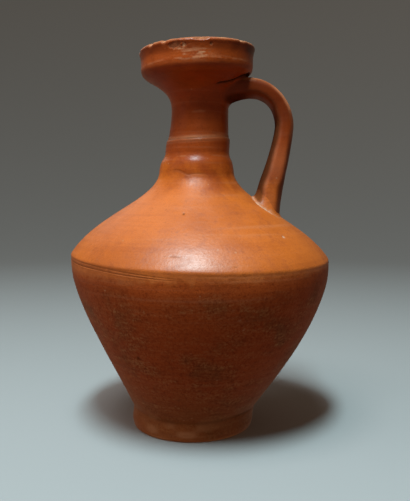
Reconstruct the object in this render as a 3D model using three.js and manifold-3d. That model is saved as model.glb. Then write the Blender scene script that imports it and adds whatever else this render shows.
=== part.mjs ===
// A wheel-thrown earthenware jug with a red slip: a keeled belly on a ring foot, a tiered neck,
// a cup mouth and one strap handle. Such a jug is thrown as separate clay members that are luted
// together, so each member is a solid of its own, and a film of slip parts the luted faces.
// Millimetres, +Z up. The origin is on the table under the middle of the belly, and the handle
// is towards +X, turned a little to +Y.

import * as THREE from 'three';
import { mergeVertices } from 'three/addons/utils/BufferGeometryUtils.js';
import Module from 'manifold-3d';

const wasm = await Module();
wasm.setup();

const { lerp, smoothstep, clamp } = THREE.MathUtils;

// Heights of the members, from the table up
const FOOT_HEIGHT = 14;
const BELLY_HEIGHT = 92;
const SHOULDER_HEIGHT = 57;
const COLLAR_HEIGHT = 20.4;
const FUNNEL_HEIGHT = 42.6;
const RIM_HEIGHT = 14;

// Outer radii
const FOOT_RADIUS = 39.4;
const FOOT_SEAM_RADIUS = 38.8;
const BELLY_RADIUS = 81.7;
const NECK_RADIUS = 23.2;
const TIER_RADIUS = 21;
const COLLAR_TOP_RADIUS = 19.5;
const THROAT_RADIUS = 18;
const RIM_RADIUS = 35.8;

// Walls, floor and foot
const BELLY_WALL = 5.5;
const NECK_WALL = 4.8;
const RIM_WALL = 4.6;
const FLOOR = 7;
const FLOOR_LIFT = 5.5;
const FLOOR_CORNER = 4;
const FOOT_BORE_RADIUS = 31;
const FOOT_CONTACT_WIDTH = 4.2;
const FOOT_ROUND_HEIGHT = 6.5;
const FOOT_LIP = 1.3;
const FOOT_GROOVE = 1;

// Curves of the outer wall
const BELLY_FLARE_OUT = 5.7;
const BELLY_FLARE_UP = 7.8;
const BELLY_ROUND = 31.7;
const KEEL_LIFT = 1.5;
const KEEL_ROUND = 12.3;
const KEEL_TURN = THREE.MathUtils.degToRad(35);
const SHOULDER_REACH = 20.2;
const NECK_SWEEP = 13.9;
const TIER_HEIGHT = 9.6;
const TIER_STEP = 3;
const MOUTH_LEDGE = 0.6;
const THROAT_HEIGHT = 19.6;
const BOWL_TURN = 6.8;
const RIM_WAIST = 0.7;
const RIM_LIP = 2.2;

// Luted seams: the film of slip, and how far each seam's inner edge is above or below its outer edge
const SLIP_GAP = 0.3;
const KEEL_BEVEL = 4;
const SOCKET_BEVEL = -4;
const RIDGE_BEVEL = 1.5;
const STRIP_REACH = 9;
const STRIP_CROWN = 3.4;
const STRIP_EDGE = 0.8;

// Strap handle
const HANDLE_TURN = THREE.MathUtils.degToRad(5.5);
const HANDLE_ROOT_DROP = 13.6;
const HANDLE_RISE = THREE.MathUtils.degToRad(23.5);
const HANDLE_ARCH = 39.9;
const HANDLE_REACH = 55.4;
const HANDLE_ELBOW_DROP = 25.5;
const HANDLE_ELBOW_ROUND = 3;
const HANDLE_LEG_BEND = 17.7;
const HANDLE_FOOT_RADIUS = 42.7;
const HANDLE_FOOT_RISE = 26.3;
const HANDLE_BURIAL = 17;
const STRAP_THICKNESS = 7.8;
const STRAP_WIDTH = 23;
const STRAP_SQUARENESS = 2.5;
const ROOT_THICKNESS = 13.2;
const ROOT_WIDTH = 25;
const ROOT_FLARE_LENGTH = 44;
const FOOT_THICKNESS = 16;
const FOOT_WIDTH = 30;
const FOOT_FLARE_LENGTH = 57;
const FLARE_POWER = 1.15;

// Clay pressed round the ends of the handle
const ROOT_WAD = 3.4;
const ROOT_WAD_LENGTH = 24;
const FOOT_PAD = 2.6;
const FOOT_PAD_LENGTH = 8;
const LUTING_EDGE = 1;

// How the soft members settled when they were luted: sideways shifts along X, and tilts along X
const FOOT_SHIFT = -4.9;
const FOOT_SHIFT_HEIGHT = 70;
const NECK_SHIFT = -2.3;
const MOUTH_SHIFT = -1.9;
const BELLY_TILT = -0.028;
const MOUTH_TILT = 0.038;

// Fineness of the faceted surfaces
const AROUND = 48;
const CURVE_STEPS = 9;
const INNER_STEPS = 6;
const CORNER_STEPS = 4;
const STRAP_SIDES = 16;
const STRAP_STEPS = 30;
const LUTING_STEPS = 8;
const WELD_DISTANCE = 1e-4;

// Heights of the seams
const footTop = FOOT_HEIGHT;
const keel = footTop + BELLY_HEIGHT;
const neckSeam = keel + SHOULDER_HEIGHT;
const mouthSeam = neckSeam + COLLAR_HEIGHT;
const ridge = mouthSeam + FUNNEL_HEIGHT;
const lip = ridge + RIM_HEIGHT;
const floorTop = FLOOR_LIFT + FLOOR;
const throat = mouthSeam + THROAT_HEIGHT;

// A point of a profile.
function at(radius, height) {
  return new THREE.Vector2(radius, height);
}

// The sideways shift and the tilt that a member has at one height.
function settling(z) {
  const risen = clamp((z - footTop / 2) / FOOT_SHIFT_HEIGHT, 0, 1);
  const inNeck = smoothstep(z, keel, neckSeam) * (1 - smoothstep(z, neckSeam, throat));
  const inBelly = smoothstep(z, footTop, keel) * (1 - smoothstep(z, (keel + neckSeam) / 2, neckSeam));
  return {
    shift: FOOT_SHIFT * (1 - risen) ** 2 + NECK_SHIFT * inNeck
      + MOUTH_SHIFT * smoothstep(z, throat, ridge),
    tilt: BELLY_TILT * inBelly + MOUTH_TILT * smoothstep(z, neckSeam, mouthSeam),
  };
}

// Moves every point of a geometry by the settling at its height, so that luted faces stay together.
function settle(geometry) {
  const position = geometry.attributes.position;
  for (let i = 0; i < position.count; i += 1) {
    const x = position.getX(i);
    const z = position.getZ(i);
    const { shift, tilt } = settling(z);
    position.setX(i, x + shift);
    position.setZ(i, z + tilt * x);
  }
  return geometry;
}

// A closed profile turned round the Z axis.
function turned(points) {
  const geometry = new THREE.LatheGeometry(points, AROUND);
  geometry.rotateX(Math.PI / 2);
  return geometry;
}

// A thrown wall: its outer line going up and its inner line coming down, closed at both seams.
function thrownWall(outer, inner) {
  const points = [...outer, ...inner.toReversed()];
  points.push(points[0].clone());
  return turned(points);
}

// A line of points moved to its inner side, by a depth that is given for each share of the line.
function setIn(points, depthAt) {
  return points.map((point, i) => {
    const before = points[Math.max(i - 1, 0)];
    const after = points[Math.min(i + 1, points.length - 1)];
    const along = after.clone().sub(before).normalize();
    const depth = depthAt(i / (points.length - 1));
    return at(point.x - along.y * depth, point.y + along.x * depth);
  });
}

// A solid that can be cut, made from a closed geometry.
function solidOf(geometry) {
  const bare = geometry.clone();
  bare.deleteAttribute('normal');
  bare.deleteAttribute('uv');
  const merged = mergeVertices(bare, WELD_DISTANCE);
  return new wasm.Manifold(new wasm.Mesh({
    numProp: 3,
    vertProperties: new Float32Array(merged.attributes.position.array),
    triVerts: new Uint32Array(merged.index.array),
  }));
}

// The geometry of a solid after its cuts.
function geometryOf(solid) {
  const mesh = solid.getMesh();
  const geometry = new THREE.BufferGeometry();
  geometry.setAttribute('position', new THREE.BufferAttribute(mesh.vertProperties, 3));
  geometry.setIndex(new THREE.BufferAttribute(mesh.triVerts, 1));
  return geometry;
}

// Foot ring: a rounded band whose top is a cone that the round base of the belly sits in
const footContactRadius = FOOT_BORE_RADIUS + FOOT_CONTACT_WIDTH;
const seatInnerRadius = FOOT_BORE_RADIUS - FOOT_GROOVE;

function footRing() {
  const roundCurve = new THREE.QuadraticBezierCurve(
    at(footContactRadius, 0),
    at(FOOT_RADIUS, 0),
    at(FOOT_RADIUS, FOOT_ROUND_HEIGHT),
  );
  const outer = [
    ...roundCurve.getPoints(CORNER_STEPS),
    at(FOOT_RADIUS, footTop - FOOT_LIP),
    at(FOOT_SEAM_RADIUS, footTop - SLIP_GAP),
  ];
  const inner = [at(FOOT_BORE_RADIUS, 0), at(seatInnerRadius, FLOOR_LIFT - SLIP_GAP)];
  return thrownWall(outer, inner);
}

// Belly bowl: the floor and the flaring wall up to the keel
const bellyBore = BELLY_RADIUS - BELLY_WALL;
const cornerRadius = FOOT_SEAM_RADIUS - FLOOR_CORNER;
const cornerTop = floorTop + FLOOR_CORNER;

// One wall line of the belly: it flares out of the foot and ends upright at the keel.
function bellyCurve(footRadius, footHeight, keelRadius, keelHeight) {
  return new THREE.CubicBezierCurve(
    at(footRadius, footHeight),
    at(footRadius + BELLY_FLARE_OUT, footHeight + BELLY_FLARE_UP),
    at(keelRadius, keel - BELLY_ROUND),
    at(keelRadius, keelHeight),
  );
}

const bellyStartRadius = FOOT_SEAM_RADIUS + FOOT_GROOVE;
const bellyStart = footTop + FOOT_GROOVE;
const bellyOuterCurve = bellyCurve(bellyStartRadius, bellyStart, BELLY_RADIUS, keel);
const bellyInnerCurve = bellyCurve(cornerRadius, cornerTop, bellyBore, keel + KEEL_BEVEL);
const bellyInner = bellyInnerCurve.getPoints(INNER_STEPS);

function bellyBowl() {
  const cornerCurve = new THREE.QuadraticBezierCurve(
    at(cornerRadius - 2 * FLOOR_CORNER, floorTop),
    at(cornerRadius - FLOOR_CORNER / 2, floorTop),
    at(cornerRadius, cornerTop),
  );
  const outer = [
    at(0, FLOOR_LIFT),
    at(seatInnerRadius, FLOOR_LIFT),
    at(FOOT_SEAM_RADIUS, footTop),
    ...bellyOuterCurve.getPoints(CURVE_STEPS),
  ];
  const inner = [at(0, floorTop), ...cornerCurve.getPoints(CORNER_STEPS), ...bellyInner.slice(1)];
  return turned([...outer, ...inner.toReversed()]);
}

// Shoulder: a rounded keel, then a cone that sweeps up into the neck
const shoulderLine = at(-Math.sin(KEEL_TURN), Math.cos(KEEL_TURN));
const shoulderInwards = at(-Math.cos(KEEL_TURN), -Math.sin(KEEL_TURN));
const neckBore = NECK_RADIUS - NECK_WALL;

const keelArc = new THREE.ArcCurve(BELLY_RADIUS - KEEL_ROUND, keel + KEEL_LIFT, KEEL_ROUND, 0, KEEL_TURN);
const keelEnd = keelArc.getPoint(1);
const shoulderPull = keelEnd.clone().addScaledVector(shoulderLine, SHOULDER_REACH);
const shoulderOuterCurve = new THREE.CubicBezierCurve(
  keelEnd,
  shoulderPull,
  at(NECK_RADIUS, neckSeam - NECK_SWEEP),
  at(NECK_RADIUS, neckSeam),
);
const shoulderOuter = [
  at(BELLY_RADIUS, keel + SLIP_GAP),
  ...keelArc.getPoints(CORNER_STEPS),
  ...shoulderOuterCurve.getPoints(CURVE_STEPS).slice(1),
];
const shoulderInnerCurve = new THREE.CubicBezierCurve(
  at(bellyBore, keel + KEEL_BEVEL + SLIP_GAP),
  shoulderPull.clone().addScaledVector(shoulderInwards, BELLY_WALL),
  at(neckBore, neckSeam - NECK_SWEEP - NECK_WALL / 2),
  at(neckBore, neckSeam + SOCKET_BEVEL),
);
const shoulderInner = shoulderInnerCurve.getPoints(INNER_STEPS);

function shoulder() {
  return thrownWall(shoulderOuter, shoulderInner);
}

// Seam strip: a coil of clay smeared over the inside of the keel seam, thick in its middle.

// The first stretch of a line of points, with the given length.
function firstStretch(points, length) {
  const stretch = [points[0]];
  let rest = length;
  for (let i = 1; i < points.length && rest > 0; i += 1) {
    const step = points[i].distanceTo(points[i - 1]);
    stretch.push(points[i - 1].clone().lerp(points[i], Math.min(rest / step, 1)));
    rest -= step;
  }
  return stretch;
}

function seamStrip() {
  const bellySide = firstStretch(bellyInner.toReversed(), STRIP_REACH).toReversed();
  const backing = [...bellySide, ...firstStretch(shoulderInner, STRIP_REACH)];
  const swell = (u) => SLIP_GAP + lerp(STRIP_EDGE, STRIP_CROWN, Math.sin(Math.PI * u));
  return thrownWall(setIn(backing, () => SLIP_GAP), setIn(backing, swell));
}

// Neck collar: two tiers that narrow upwards, socketed into the shoulder
const collarBore = COLLAR_TOP_RADIUS - NECK_WALL;
const tierTop = neckSeam + TIER_HEIGHT;

const lowerTierCurve = new THREE.QuadraticBezierCurve(
  at(NECK_RADIUS, neckSeam + SLIP_GAP),
  at(NECK_RADIUS, (neckSeam + tierTop) / 2),
  at(TIER_RADIUS, tierTop),
);
const upperTierCurve = new THREE.QuadraticBezierCurve(
  at(TIER_RADIUS, tierTop),
  at(COLLAR_TOP_RADIUS, tierTop + TIER_STEP),
  at(COLLAR_TOP_RADIUS, tierTop + 2 * TIER_STEP),
);
const collarOuter = [
  ...lowerTierCurve.getPoints(CORNER_STEPS),
  ...upperTierCurve.getPoints(CORNER_STEPS).slice(1),
  at(COLLAR_TOP_RADIUS, mouthSeam),
];

function neckCollar() {
  const inner = [
    at(neckBore, neckSeam + SOCKET_BEVEL + SLIP_GAP),
    at((neckBore + collarBore) / 2, tierTop),
    at(collarBore, mouthSeam + SOCKET_BEVEL),
  ];
  return thrownWall(collarOuter, inner);
}

// Mouth funnel: the throat and the bowl of the cup mouth, up to the ridge under the rim
const bowlRadius = RIM_RADIUS - MOUTH_LEDGE / 2;
const bowlBore = RIM_RADIUS - RIM_WALL;
const throatBore = THROAT_RADIUS - NECK_WALL;
const bowlTurn = ridge - BOWL_TURN;

const throatCurve = new THREE.QuadraticBezierCurve(
  at(COLLAR_TOP_RADIUS - MOUTH_LEDGE, mouthSeam + SLIP_GAP),
  at(THROAT_RADIUS, (mouthSeam + throat) / 2),
  at(THROAT_RADIUS, throat),
);
const bowlOuterCurve = new THREE.CubicBezierCurve(
  at(THROAT_RADIUS, throat),
  at(THROAT_RADIUS, bowlTurn),
  at(bowlRadius, bowlTurn),
  at(bowlRadius, ridge - MOUTH_LEDGE),
);
const bowlInnerCurve = new THREE.CubicBezierCurve(
  at(throatBore, throat),
  at(throatBore, bowlTurn + NECK_WALL),
  at(bowlBore, bowlTurn + NECK_WALL),
  at(bowlBore, ridge + RIDGE_BEVEL),
);
const funnelOuter = [
  ...throatCurve.getPoints(CORNER_STEPS),
  ...bowlOuterCurve.getPoints(CURVE_STEPS).slice(1),
  at(RIM_RADIUS, ridge),
];

function mouthFunnel() {
  const inner = [
    at(collarBore, mouthSeam + SOCKET_BEVEL + SLIP_GAP),
    ...bowlInnerCurve.getPoints(INNER_STEPS),
  ];
  return thrownWall(funnelOuter, inner);
}

// Rim band: a slightly hollow upright band with a rounded lip
const rimOuterCurve = new THREE.QuadraticBezierCurve(
  at(RIM_RADIUS, ridge + SLIP_GAP),
  at(RIM_RADIUS - 2 * RIM_WAIST, (ridge + lip) / 2),
  at(RIM_RADIUS, lip - RIM_LIP),
);
const rimOuter = rimOuterCurve.getPoints(CORNER_STEPS);

function rimBand() {
  const crown = at(RIM_RADIUS - RIM_WALL / 2, lip);
  const lipOut = new THREE.QuadraticBezierCurve(rimOuter.at(-1), at(RIM_RADIUS, lip), crown);
  const lipIn = new THREE.QuadraticBezierCurve(at(bowlBore, lip - RIM_LIP), at(bowlBore, lip), crown);
  const outer = [...rimOuter, ...lipOut.getPoints(CORNER_STEPS).slice(1)];
  const inner = [
    at(bowlBore, ridge + RIDGE_BEVEL + SLIP_GAP),
    ...lipIn.getPoints(CORNER_STEPS).slice(0, -1),
  ];
  return thrownWall(outer, inner);
}

// Everything inside the outer wall from the keel up, grown by the film of slip: what is luted
// to the outside of the jug is cut by it
const outerWall = [...shoulderOuter, ...collarOuter, ...funnelOuter, ...rimOuter];
const grownWall = setIn(outerWall, () => -SLIP_GAP);
const envelope = solidOf(turned([at(0, keel), ...grownWall, at(0, lip)]));

// Handle line: an arch out of the throat, then a leg that comes down on the shoulder
function shoulderHeightAt(radius) {
  const k = shoulderOuter.findIndex((point) => point.x < radius);
  const below = shoulderOuter[k - 1];
  const above = shoulderOuter[k];
  return lerp(below.y, above.y, (radius - below.x) / (above.x - below.x));
}

const rootHeight = ridge - HANDLE_ROOT_DROP;
const elbowHeight = rootHeight - HANDLE_ELBOW_DROP;
const handleEnd = shoulderHeightAt(HANDLE_FOOT_RADIUS) - HANDLE_BURIAL;

const handleLine = new THREE.CurvePath();
handleLine.add(new THREE.CubicBezierCurve3(
  new THREE.Vector3(throatBore, 0, rootHeight),
  new THREE.Vector3(
    throatBore + HANDLE_ARCH * Math.cos(HANDLE_RISE), 0,
    rootHeight + HANDLE_ARCH * Math.sin(HANDLE_RISE),
  ),
  new THREE.Vector3(HANDLE_REACH, 0, elbowHeight + HANDLE_ELBOW_ROUND),
  new THREE.Vector3(HANDLE_REACH, 0, elbowHeight),
));
handleLine.add(new THREE.CubicBezierCurve3(
  new THREE.Vector3(HANDLE_REACH, 0, elbowHeight),
  new THREE.Vector3(HANDLE_REACH, 0, elbowHeight - HANDLE_LEG_BEND),
  new THREE.Vector3(HANDLE_FOOT_RADIUS, 0, handleEnd + HANDLE_FOOT_RISE),
  new THREE.Vector3(HANDLE_FOOT_RADIUS, 0, handleEnd),
));
const handleLength = handleLine.getLength();

// The strap's thickness and width at a distance along the handle line: both grow towards its ends.
function strapSize(distance) {
  const nearRoot = clamp(1 - distance / ROOT_FLARE_LENGTH, 0, 1) ** 2;
  const nearFoot = clamp(1 - (handleLength - distance) / FOOT_FLARE_LENGTH, 0, 1) ** FLARE_POWER;
  return {
    thickness: STRAP_THICKNESS + (ROOT_THICKNESS - STRAP_THICKNESS) * nearRoot
      + (FOOT_THICKNESS - STRAP_THICKNESS) * nearFoot,
    width: STRAP_WIDTH + (ROOT_WIDTH - STRAP_WIDTH) * nearRoot + (FOOT_WIDTH - STRAP_WIDTH) * nearFoot,
  };
}

// A cosine or sine bent so that a circle becomes a squarish oval.
function rounded(value) {
  return Math.sign(value) * Math.abs(value) ** (2 / STRAP_SQUARENESS);
}

// A loft along a stretch of the handle line. The section at a distance is a squarish oval that
// is upper and lower from the line on its two faces, and half a width to each side.
function strapLoft(start, end, steps, section) {
  const positions = [];
  for (let i = 0; i <= steps; i += 1) {
    const distance = lerp(start, end, i / steps);
    const share = distance / handleLength;
    const centre = handleLine.getPoint(share);
    const along = handleLine.getTangent(share);
    const { upper, lower, side } = section(distance);
    for (let j = 0; j < STRAP_SIDES; j += 1) {
      const angle = (2 * Math.PI * j) / STRAP_SIDES;
      const face = rounded(Math.cos(angle));
      const lift = face * (face > 0 ? upper : lower);
      positions.push(
        centre.x - along.z * lift,
        side * rounded(Math.sin(angle)),
        centre.z + along.x * lift,
      );
    }
  }
  const first = handleLine.getPoint(start / handleLength);
  const last = handleLine.getPoint(end / handleLength);
  const firstCap = positions.length / 3;
  positions.push(...first.toArray(), ...last.toArray());

  const triangles = [];
  for (let j = 0; j < STRAP_SIDES; j += 1) {
    const next = (j + 1) % STRAP_SIDES;
    for (let i = 0; i < steps; i += 1) {
      const near = i * STRAP_SIDES;
      const far = near + STRAP_SIDES;
      triangles.push(near + j, far + j, far + next, near + j, far + next, near + next);
    }
    const lastRing = steps * STRAP_SIDES;
    triangles.push(firstCap, j, next, firstCap + 1, lastRing + next, lastRing + j);
  }
  const geometry = new THREE.BufferGeometry();
  geometry.setAttribute('position', new THREE.BufferAttribute(new Float32Array(positions), 3));
  geometry.setIndex(triangles);
  geometry.rotateZ(HANDLE_TURN);
  return geometry;
}

// The strap's own section, grown by a clearance.
function strapSection(growth) {
  return (distance) => {
    const { thickness, width } = strapSize(distance);
    const half = thickness / 2 + growth;
    return { upper: half, lower: half, side: width / 2 + growth };
  };
}

const strap = solidOf(strapLoft(0, handleLength, STRAP_STEPS, strapSection(0)));
const grownStrap = solidOf(strapLoft(0, handleLength, STRAP_STEPS, strapSection(SLIP_GAP)));

// Root wad: clay pressed into the corner under the handle's root, thinning along its underside
function rootWadSection(distance) {
  const { thickness, width } = strapSize(distance);
  const wad = lerp(ROOT_WAD, LUTING_EDGE, distance / ROOT_WAD_LENGTH);
  return { upper: thickness / 4, lower: thickness / 2 + wad, side: width / 2 - LUTING_EDGE };
}

// Foot pad: a ring of clay round the handle's foot that spreads out on the shoulder
const padStart = handleLength - HANDLE_BURIAL - FOOT_PAD_LENGTH;

function footPadSection(distance) {
  const { thickness, width } = strapSize(distance);
  const spread = lerp(LUTING_EDGE, FOOT_PAD, clamp((distance - padStart) / FOOT_PAD_LENGTH, 0, 1) ** 2);
  const half = thickness / 2 + spread;
  return { upper: half, lower: half, side: width / 2 + spread };
}

const rootWad = solidOf(strapLoft(0, ROOT_WAD_LENGTH, LUTING_STEPS, rootWadSection));
const footPad = solidOf(strapLoft(padStart, handleLength, LUTING_STEPS, footPadSection));

// A solid luted on the outside of the jug, cut clear of the wall and of its other neighbours.
function lutedOn(solid, ...cutters) {
  return geometryOf(cutters.reduce((rest, cutter) => rest.subtract(cutter), solid.subtract(envelope)));
}

// Finishes: one red slip, fired a little differently from member to member
function redSlip(colour, roughness) {
  return new THREE.MeshStandardMaterial({ color: colour, roughness, metalness: 0 });
}

const members = [
  ['foot_ring', footRing(), redSlip(0x9c4a26, 0.62)],
  ['belly_bowl', bellyBowl(), redSlip(0x9a4423, 0.55)],
  ['belly_seam_strip', seamStrip(), redSlip(0xb0643c, 0.85)],
  ['shoulder', shoulder(), redSlip(0xb5562c, 0.45)],
  ['neck_collar', neckCollar(), redSlip(0xa84c28, 0.5)],
  ['mouth_funnel', mouthFunnel(), redSlip(0x9e4625, 0.55)],
  ['rim_band', rimBand(), redSlip(0xa85230, 0.6)],
  ['strap_handle', lutedOn(strap), redSlip(0xa54a27, 0.52)],
  ['handle_root_wad', lutedOn(rootWad, grownStrap), redSlip(0x8f3f22, 0.65)],
  ['handle_foot_pad', lutedOn(footPad, grownStrap), redSlip(0xb2613b, 0.65)],
];

const jug = new THREE.Group();
for (const [name, geometry, material] of members) {
  const mesh = new THREE.Mesh(settle(geometry), material);
  mesh.name = name;
  jug.add(mesh);
}

export default jug;
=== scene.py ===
"""A wheel-thrown jug of red-slipped earthenware, modelled over its packed frame.

The jug is thrown as separate members that are luted together. One wall line runs from the foot ring up the
outside, over the lip and down the inside to the floor. It is softened and turned round the Z axis, and each
member is the stretch of it between two seams. Marks of the wheel, of luting and of wear push the points
along the wall's normals. The strap handle is a squarish oval carried along its line, and rings of clay blend
its two ends into the wall. Last, every point moves as the soft members settled.
"""

import math
from collections import namedtuple

import bpy
import numpy as np
from bpy.props import FloatProperty, FloatVectorProperty, PointerProperty
from mathutils import Euler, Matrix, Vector


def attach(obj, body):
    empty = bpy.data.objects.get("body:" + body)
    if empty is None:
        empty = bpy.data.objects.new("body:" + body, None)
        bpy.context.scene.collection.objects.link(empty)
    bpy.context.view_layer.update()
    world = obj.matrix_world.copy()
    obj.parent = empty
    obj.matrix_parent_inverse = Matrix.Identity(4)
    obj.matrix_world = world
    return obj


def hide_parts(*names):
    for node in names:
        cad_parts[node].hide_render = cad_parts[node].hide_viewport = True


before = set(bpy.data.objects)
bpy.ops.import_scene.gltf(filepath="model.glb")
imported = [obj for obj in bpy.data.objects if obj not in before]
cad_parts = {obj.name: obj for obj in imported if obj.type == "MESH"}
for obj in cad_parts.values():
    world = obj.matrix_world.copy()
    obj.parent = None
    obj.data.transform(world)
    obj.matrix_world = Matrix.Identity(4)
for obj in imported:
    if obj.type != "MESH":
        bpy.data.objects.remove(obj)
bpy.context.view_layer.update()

bl_info = {
    "name": "Red-slipped jug",
    "version": (1, 0, 0),
    "blender": (4, 5, 0),
    "location": "View3D > Sidebar > Jug",
    "description": "Models a luted earthenware jug with a keeled belly, a cup mouth and a strap handle",
    "category": "Add Mesh",
}

BODY = "root"
MM = 0.001

# Fineness of the surfaces
WALL_STEP = 0.1 * MM
CURVE_STEPS = 240
FOOT_COLUMNS = 448
BELLY_COLUMNS = 512
SHOULDER_COLUMNS = 512
COLLAR_COLUMNS = 384
FUNNEL_COLUMNS = 448
RIM_COLUMNS = 640
STRIP_COLUMNS = 256
STRAP_COLUMNS = 112
STRAP_ROWS = 300
CAP_RINGS = 6
LUTING_ROWS = 18
LUTING_SEAMS = [0, LUTING_ROWS - 1]
CROSSING_STEPS = 400
STATION_STEPS = 4000
STRIP_ROWS = 24
UNDERSIDE_RINGS = 8
FLOOR_COLUMNS = 128
FLOOR_ROWS = 24
FLOOR_FLAT_RADII = (0.4, 0.8)

# Small fixed sizes
SEAT_INSET = 1.5 * MM
SEAT_DROP = 1.7 * MM
UNDERSIDE_TURNING = 0.15 * MM
FLOOR_EYE = 3 * MM
COLLAR_CORNER_REACH = 5 * MM
CROSSING_REACH = 60 * MM
LUTING_SINK = 0.06 * MM


# Properties

def length(name, description, millimetres):
    """A length property in metres, whose default is given in millimetres."""
    default = millimetres * MM
    return FloatProperty(name=name, description=description, default=default, precision=5, unit="LENGTH")


def metres(name, description, default):
    """A length property, whose default is given in metres."""
    return FloatProperty(name=name, description=description, default=default, unit="LENGTH")


def watts(name, description, default):
    """The power of a light."""
    return FloatProperty(name=name, description=description, default=default, unit="POWER")


def turn(name, description, degrees):
    """An angle property, whose default is given in degrees."""
    return FloatProperty(name=name, description=description, default=math.radians(degrees), unit="ROTATION")


def amount(name, description, default):
    """A property that is a plain number."""
    return FloatProperty(name=name, description=description, default=default, precision=3)


def colour(name, description, *linear):
    """A colour property, whose default is given in linear red, green and blue."""
    return FloatVectorProperty(
        name=name, description=description, default=linear, subtype="COLOR", min=0, max=1)


class JugForm(bpy.types.PropertyGroup):
    """Sizes of the thrown members"""

    foot_height: length("Foot height", "From the table to the groove over the foot ring", 14)
    belly_height: length("Belly height", "From the foot ring to the keel", 93.2)
    shoulder_height: length("Shoulder height", "From the keel to the seam at the neck", 55.8)
    collar_height: length("Collar height", "From the neck seam to the seam under the throat", 20.4)
    funnel_height: length("Funnel height", "From the mouth seam to the ridge under the rim", 43.6)
    rim_height: length("Rim height", "From the ridge to the lip", 12.3)
    foot_radius: length("Foot radius", "Widest part of the foot ring", 39.4)
    foot_seam_radius: length("Foot seam radius", "Groove between the foot ring and the belly", 38.8)
    belly_radius: length("Belly radius", "Outside of the keel", 81.7)
    neck_radius: length("Neck radius", "Outside of the neck at its seam", 23.7)
    tier_radius: length("Tier radius", "Outside of the collar at its step", 22.3)
    collar_top_radius: length("Collar top radius", "Outside of the collar at its top", 20.2)
    throat_radius: length("Throat radius", "Narrowest place of the neck", 18)
    rim_radius: length("Rim radius", "Outside of the rim band", 35.8)
    belly_wall: length("Belly wall", "Thickness at the keel", 5.5)
    neck_wall: length("Neck wall", "Thickness of the neck", 4.8)
    rim_wall: length("Rim wall", "Thickness of the rim band", 4.6)
    floor: length("Floor", "Thickness of the floor", 7)
    floor_lift: length("Floor lift", "Height of the floor's underside over the table", 5.5)
    floor_corner: length("Floor corner", "Round between the floor and the wall inside", 4)
    foot_bore_radius: length("Foot bore radius", "Inner edge of the ring that the jug stands on", 31)
    foot_contact_width: length("Foot contact width", "Width of the ring that the jug stands on", 4.2)
    foot_round_height: length("Foot round height", "Height of the foot ring's rounded lower edge", 6.5)
    foot_lip: length("Foot lip", "Height of the foot ring's upper edge below its seam", 1.3)
    foot_groove: length("Foot groove", "Size of the groove over the foot ring", 1)
    belly_flare_out: length("Belly flare out", "How far the belly's line is pulled out over the foot", 4.6)
    belly_flare_up: length("Belly flare up", "How far the belly's line is pulled up over the foot", 7.8)
    belly_round: length("Belly round", "How far the belly's line runs upright under the keel", 28.8)
    keel_lift: length("Keel lift", "Height of the keel's round over its seam", 2.8)
    keel_round: length("Keel round", "Radius of the keel", 2.6)
    keel_turn: turn("Keel turn", "Angle over which the keel is round", 35)
    shoulder_reach: length("Shoulder reach", "How far the shoulder runs straight over the keel", 28)
    neck_sweep: length("Neck sweep", "How far the shoulder's line runs upright under the neck seam", 16.5)
    neck_lean: length("Neck lean", "How far the shoulder's line leans out under the neck seam", 0.4)
    tier_bulge: length("Tier bulge", "How far the collar's lower tier swells", 0.2)
    tier_height: length("Tier height", "From the neck seam to the collar's step", 6.5)
    tier_step: length("Tier step", "Half the height of the bend over the collar's step", 2.7)
    mouth_ledge: length("Mouth ledge", "Depth of the ledge at the mouth seam", 1.1)
    throat_height: length("Throat height", "From the mouth seam to the narrowest place", 19.6)
    bowl_turn: length("Bowl turn", "Height of the bowl's bend below the ridge", 8.2)
    rim_taper: length("Rim taper", "How far the rim band draws in down to the ridge", 0.6)
    lip_flare: length("Lip flare", "How far the lip stands out over the rim band", 0.6)
    ridge_ledge: length("Ridge ledge", "Depth of the ledge under the ridge", 0.15)
    rim_lip: length("Rim lip", "Height of the lip's round", 2.2)
    keel_bevel: length("Keel bevel", "Height of the keel seam's inner edge over its outer edge", 4)
    socket_bevel: length("Socket bevel", "Depth of the neck seams' inner edges below their outer edges", 4)
    ridge_bevel: length("Ridge bevel", "Height of the ridge seam's inner edge over its outer edge", 1.5)
    strip_reach: length("Strip reach", "How far the seam strip covers the wall on each side", 9)
    strip_crown: length("Strip crown", "Thickness of the seam strip in its middle", 3.4)
    strip_edge: length("Strip edge", "Thickness of the seam strip at its edges", 0.8)


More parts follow.
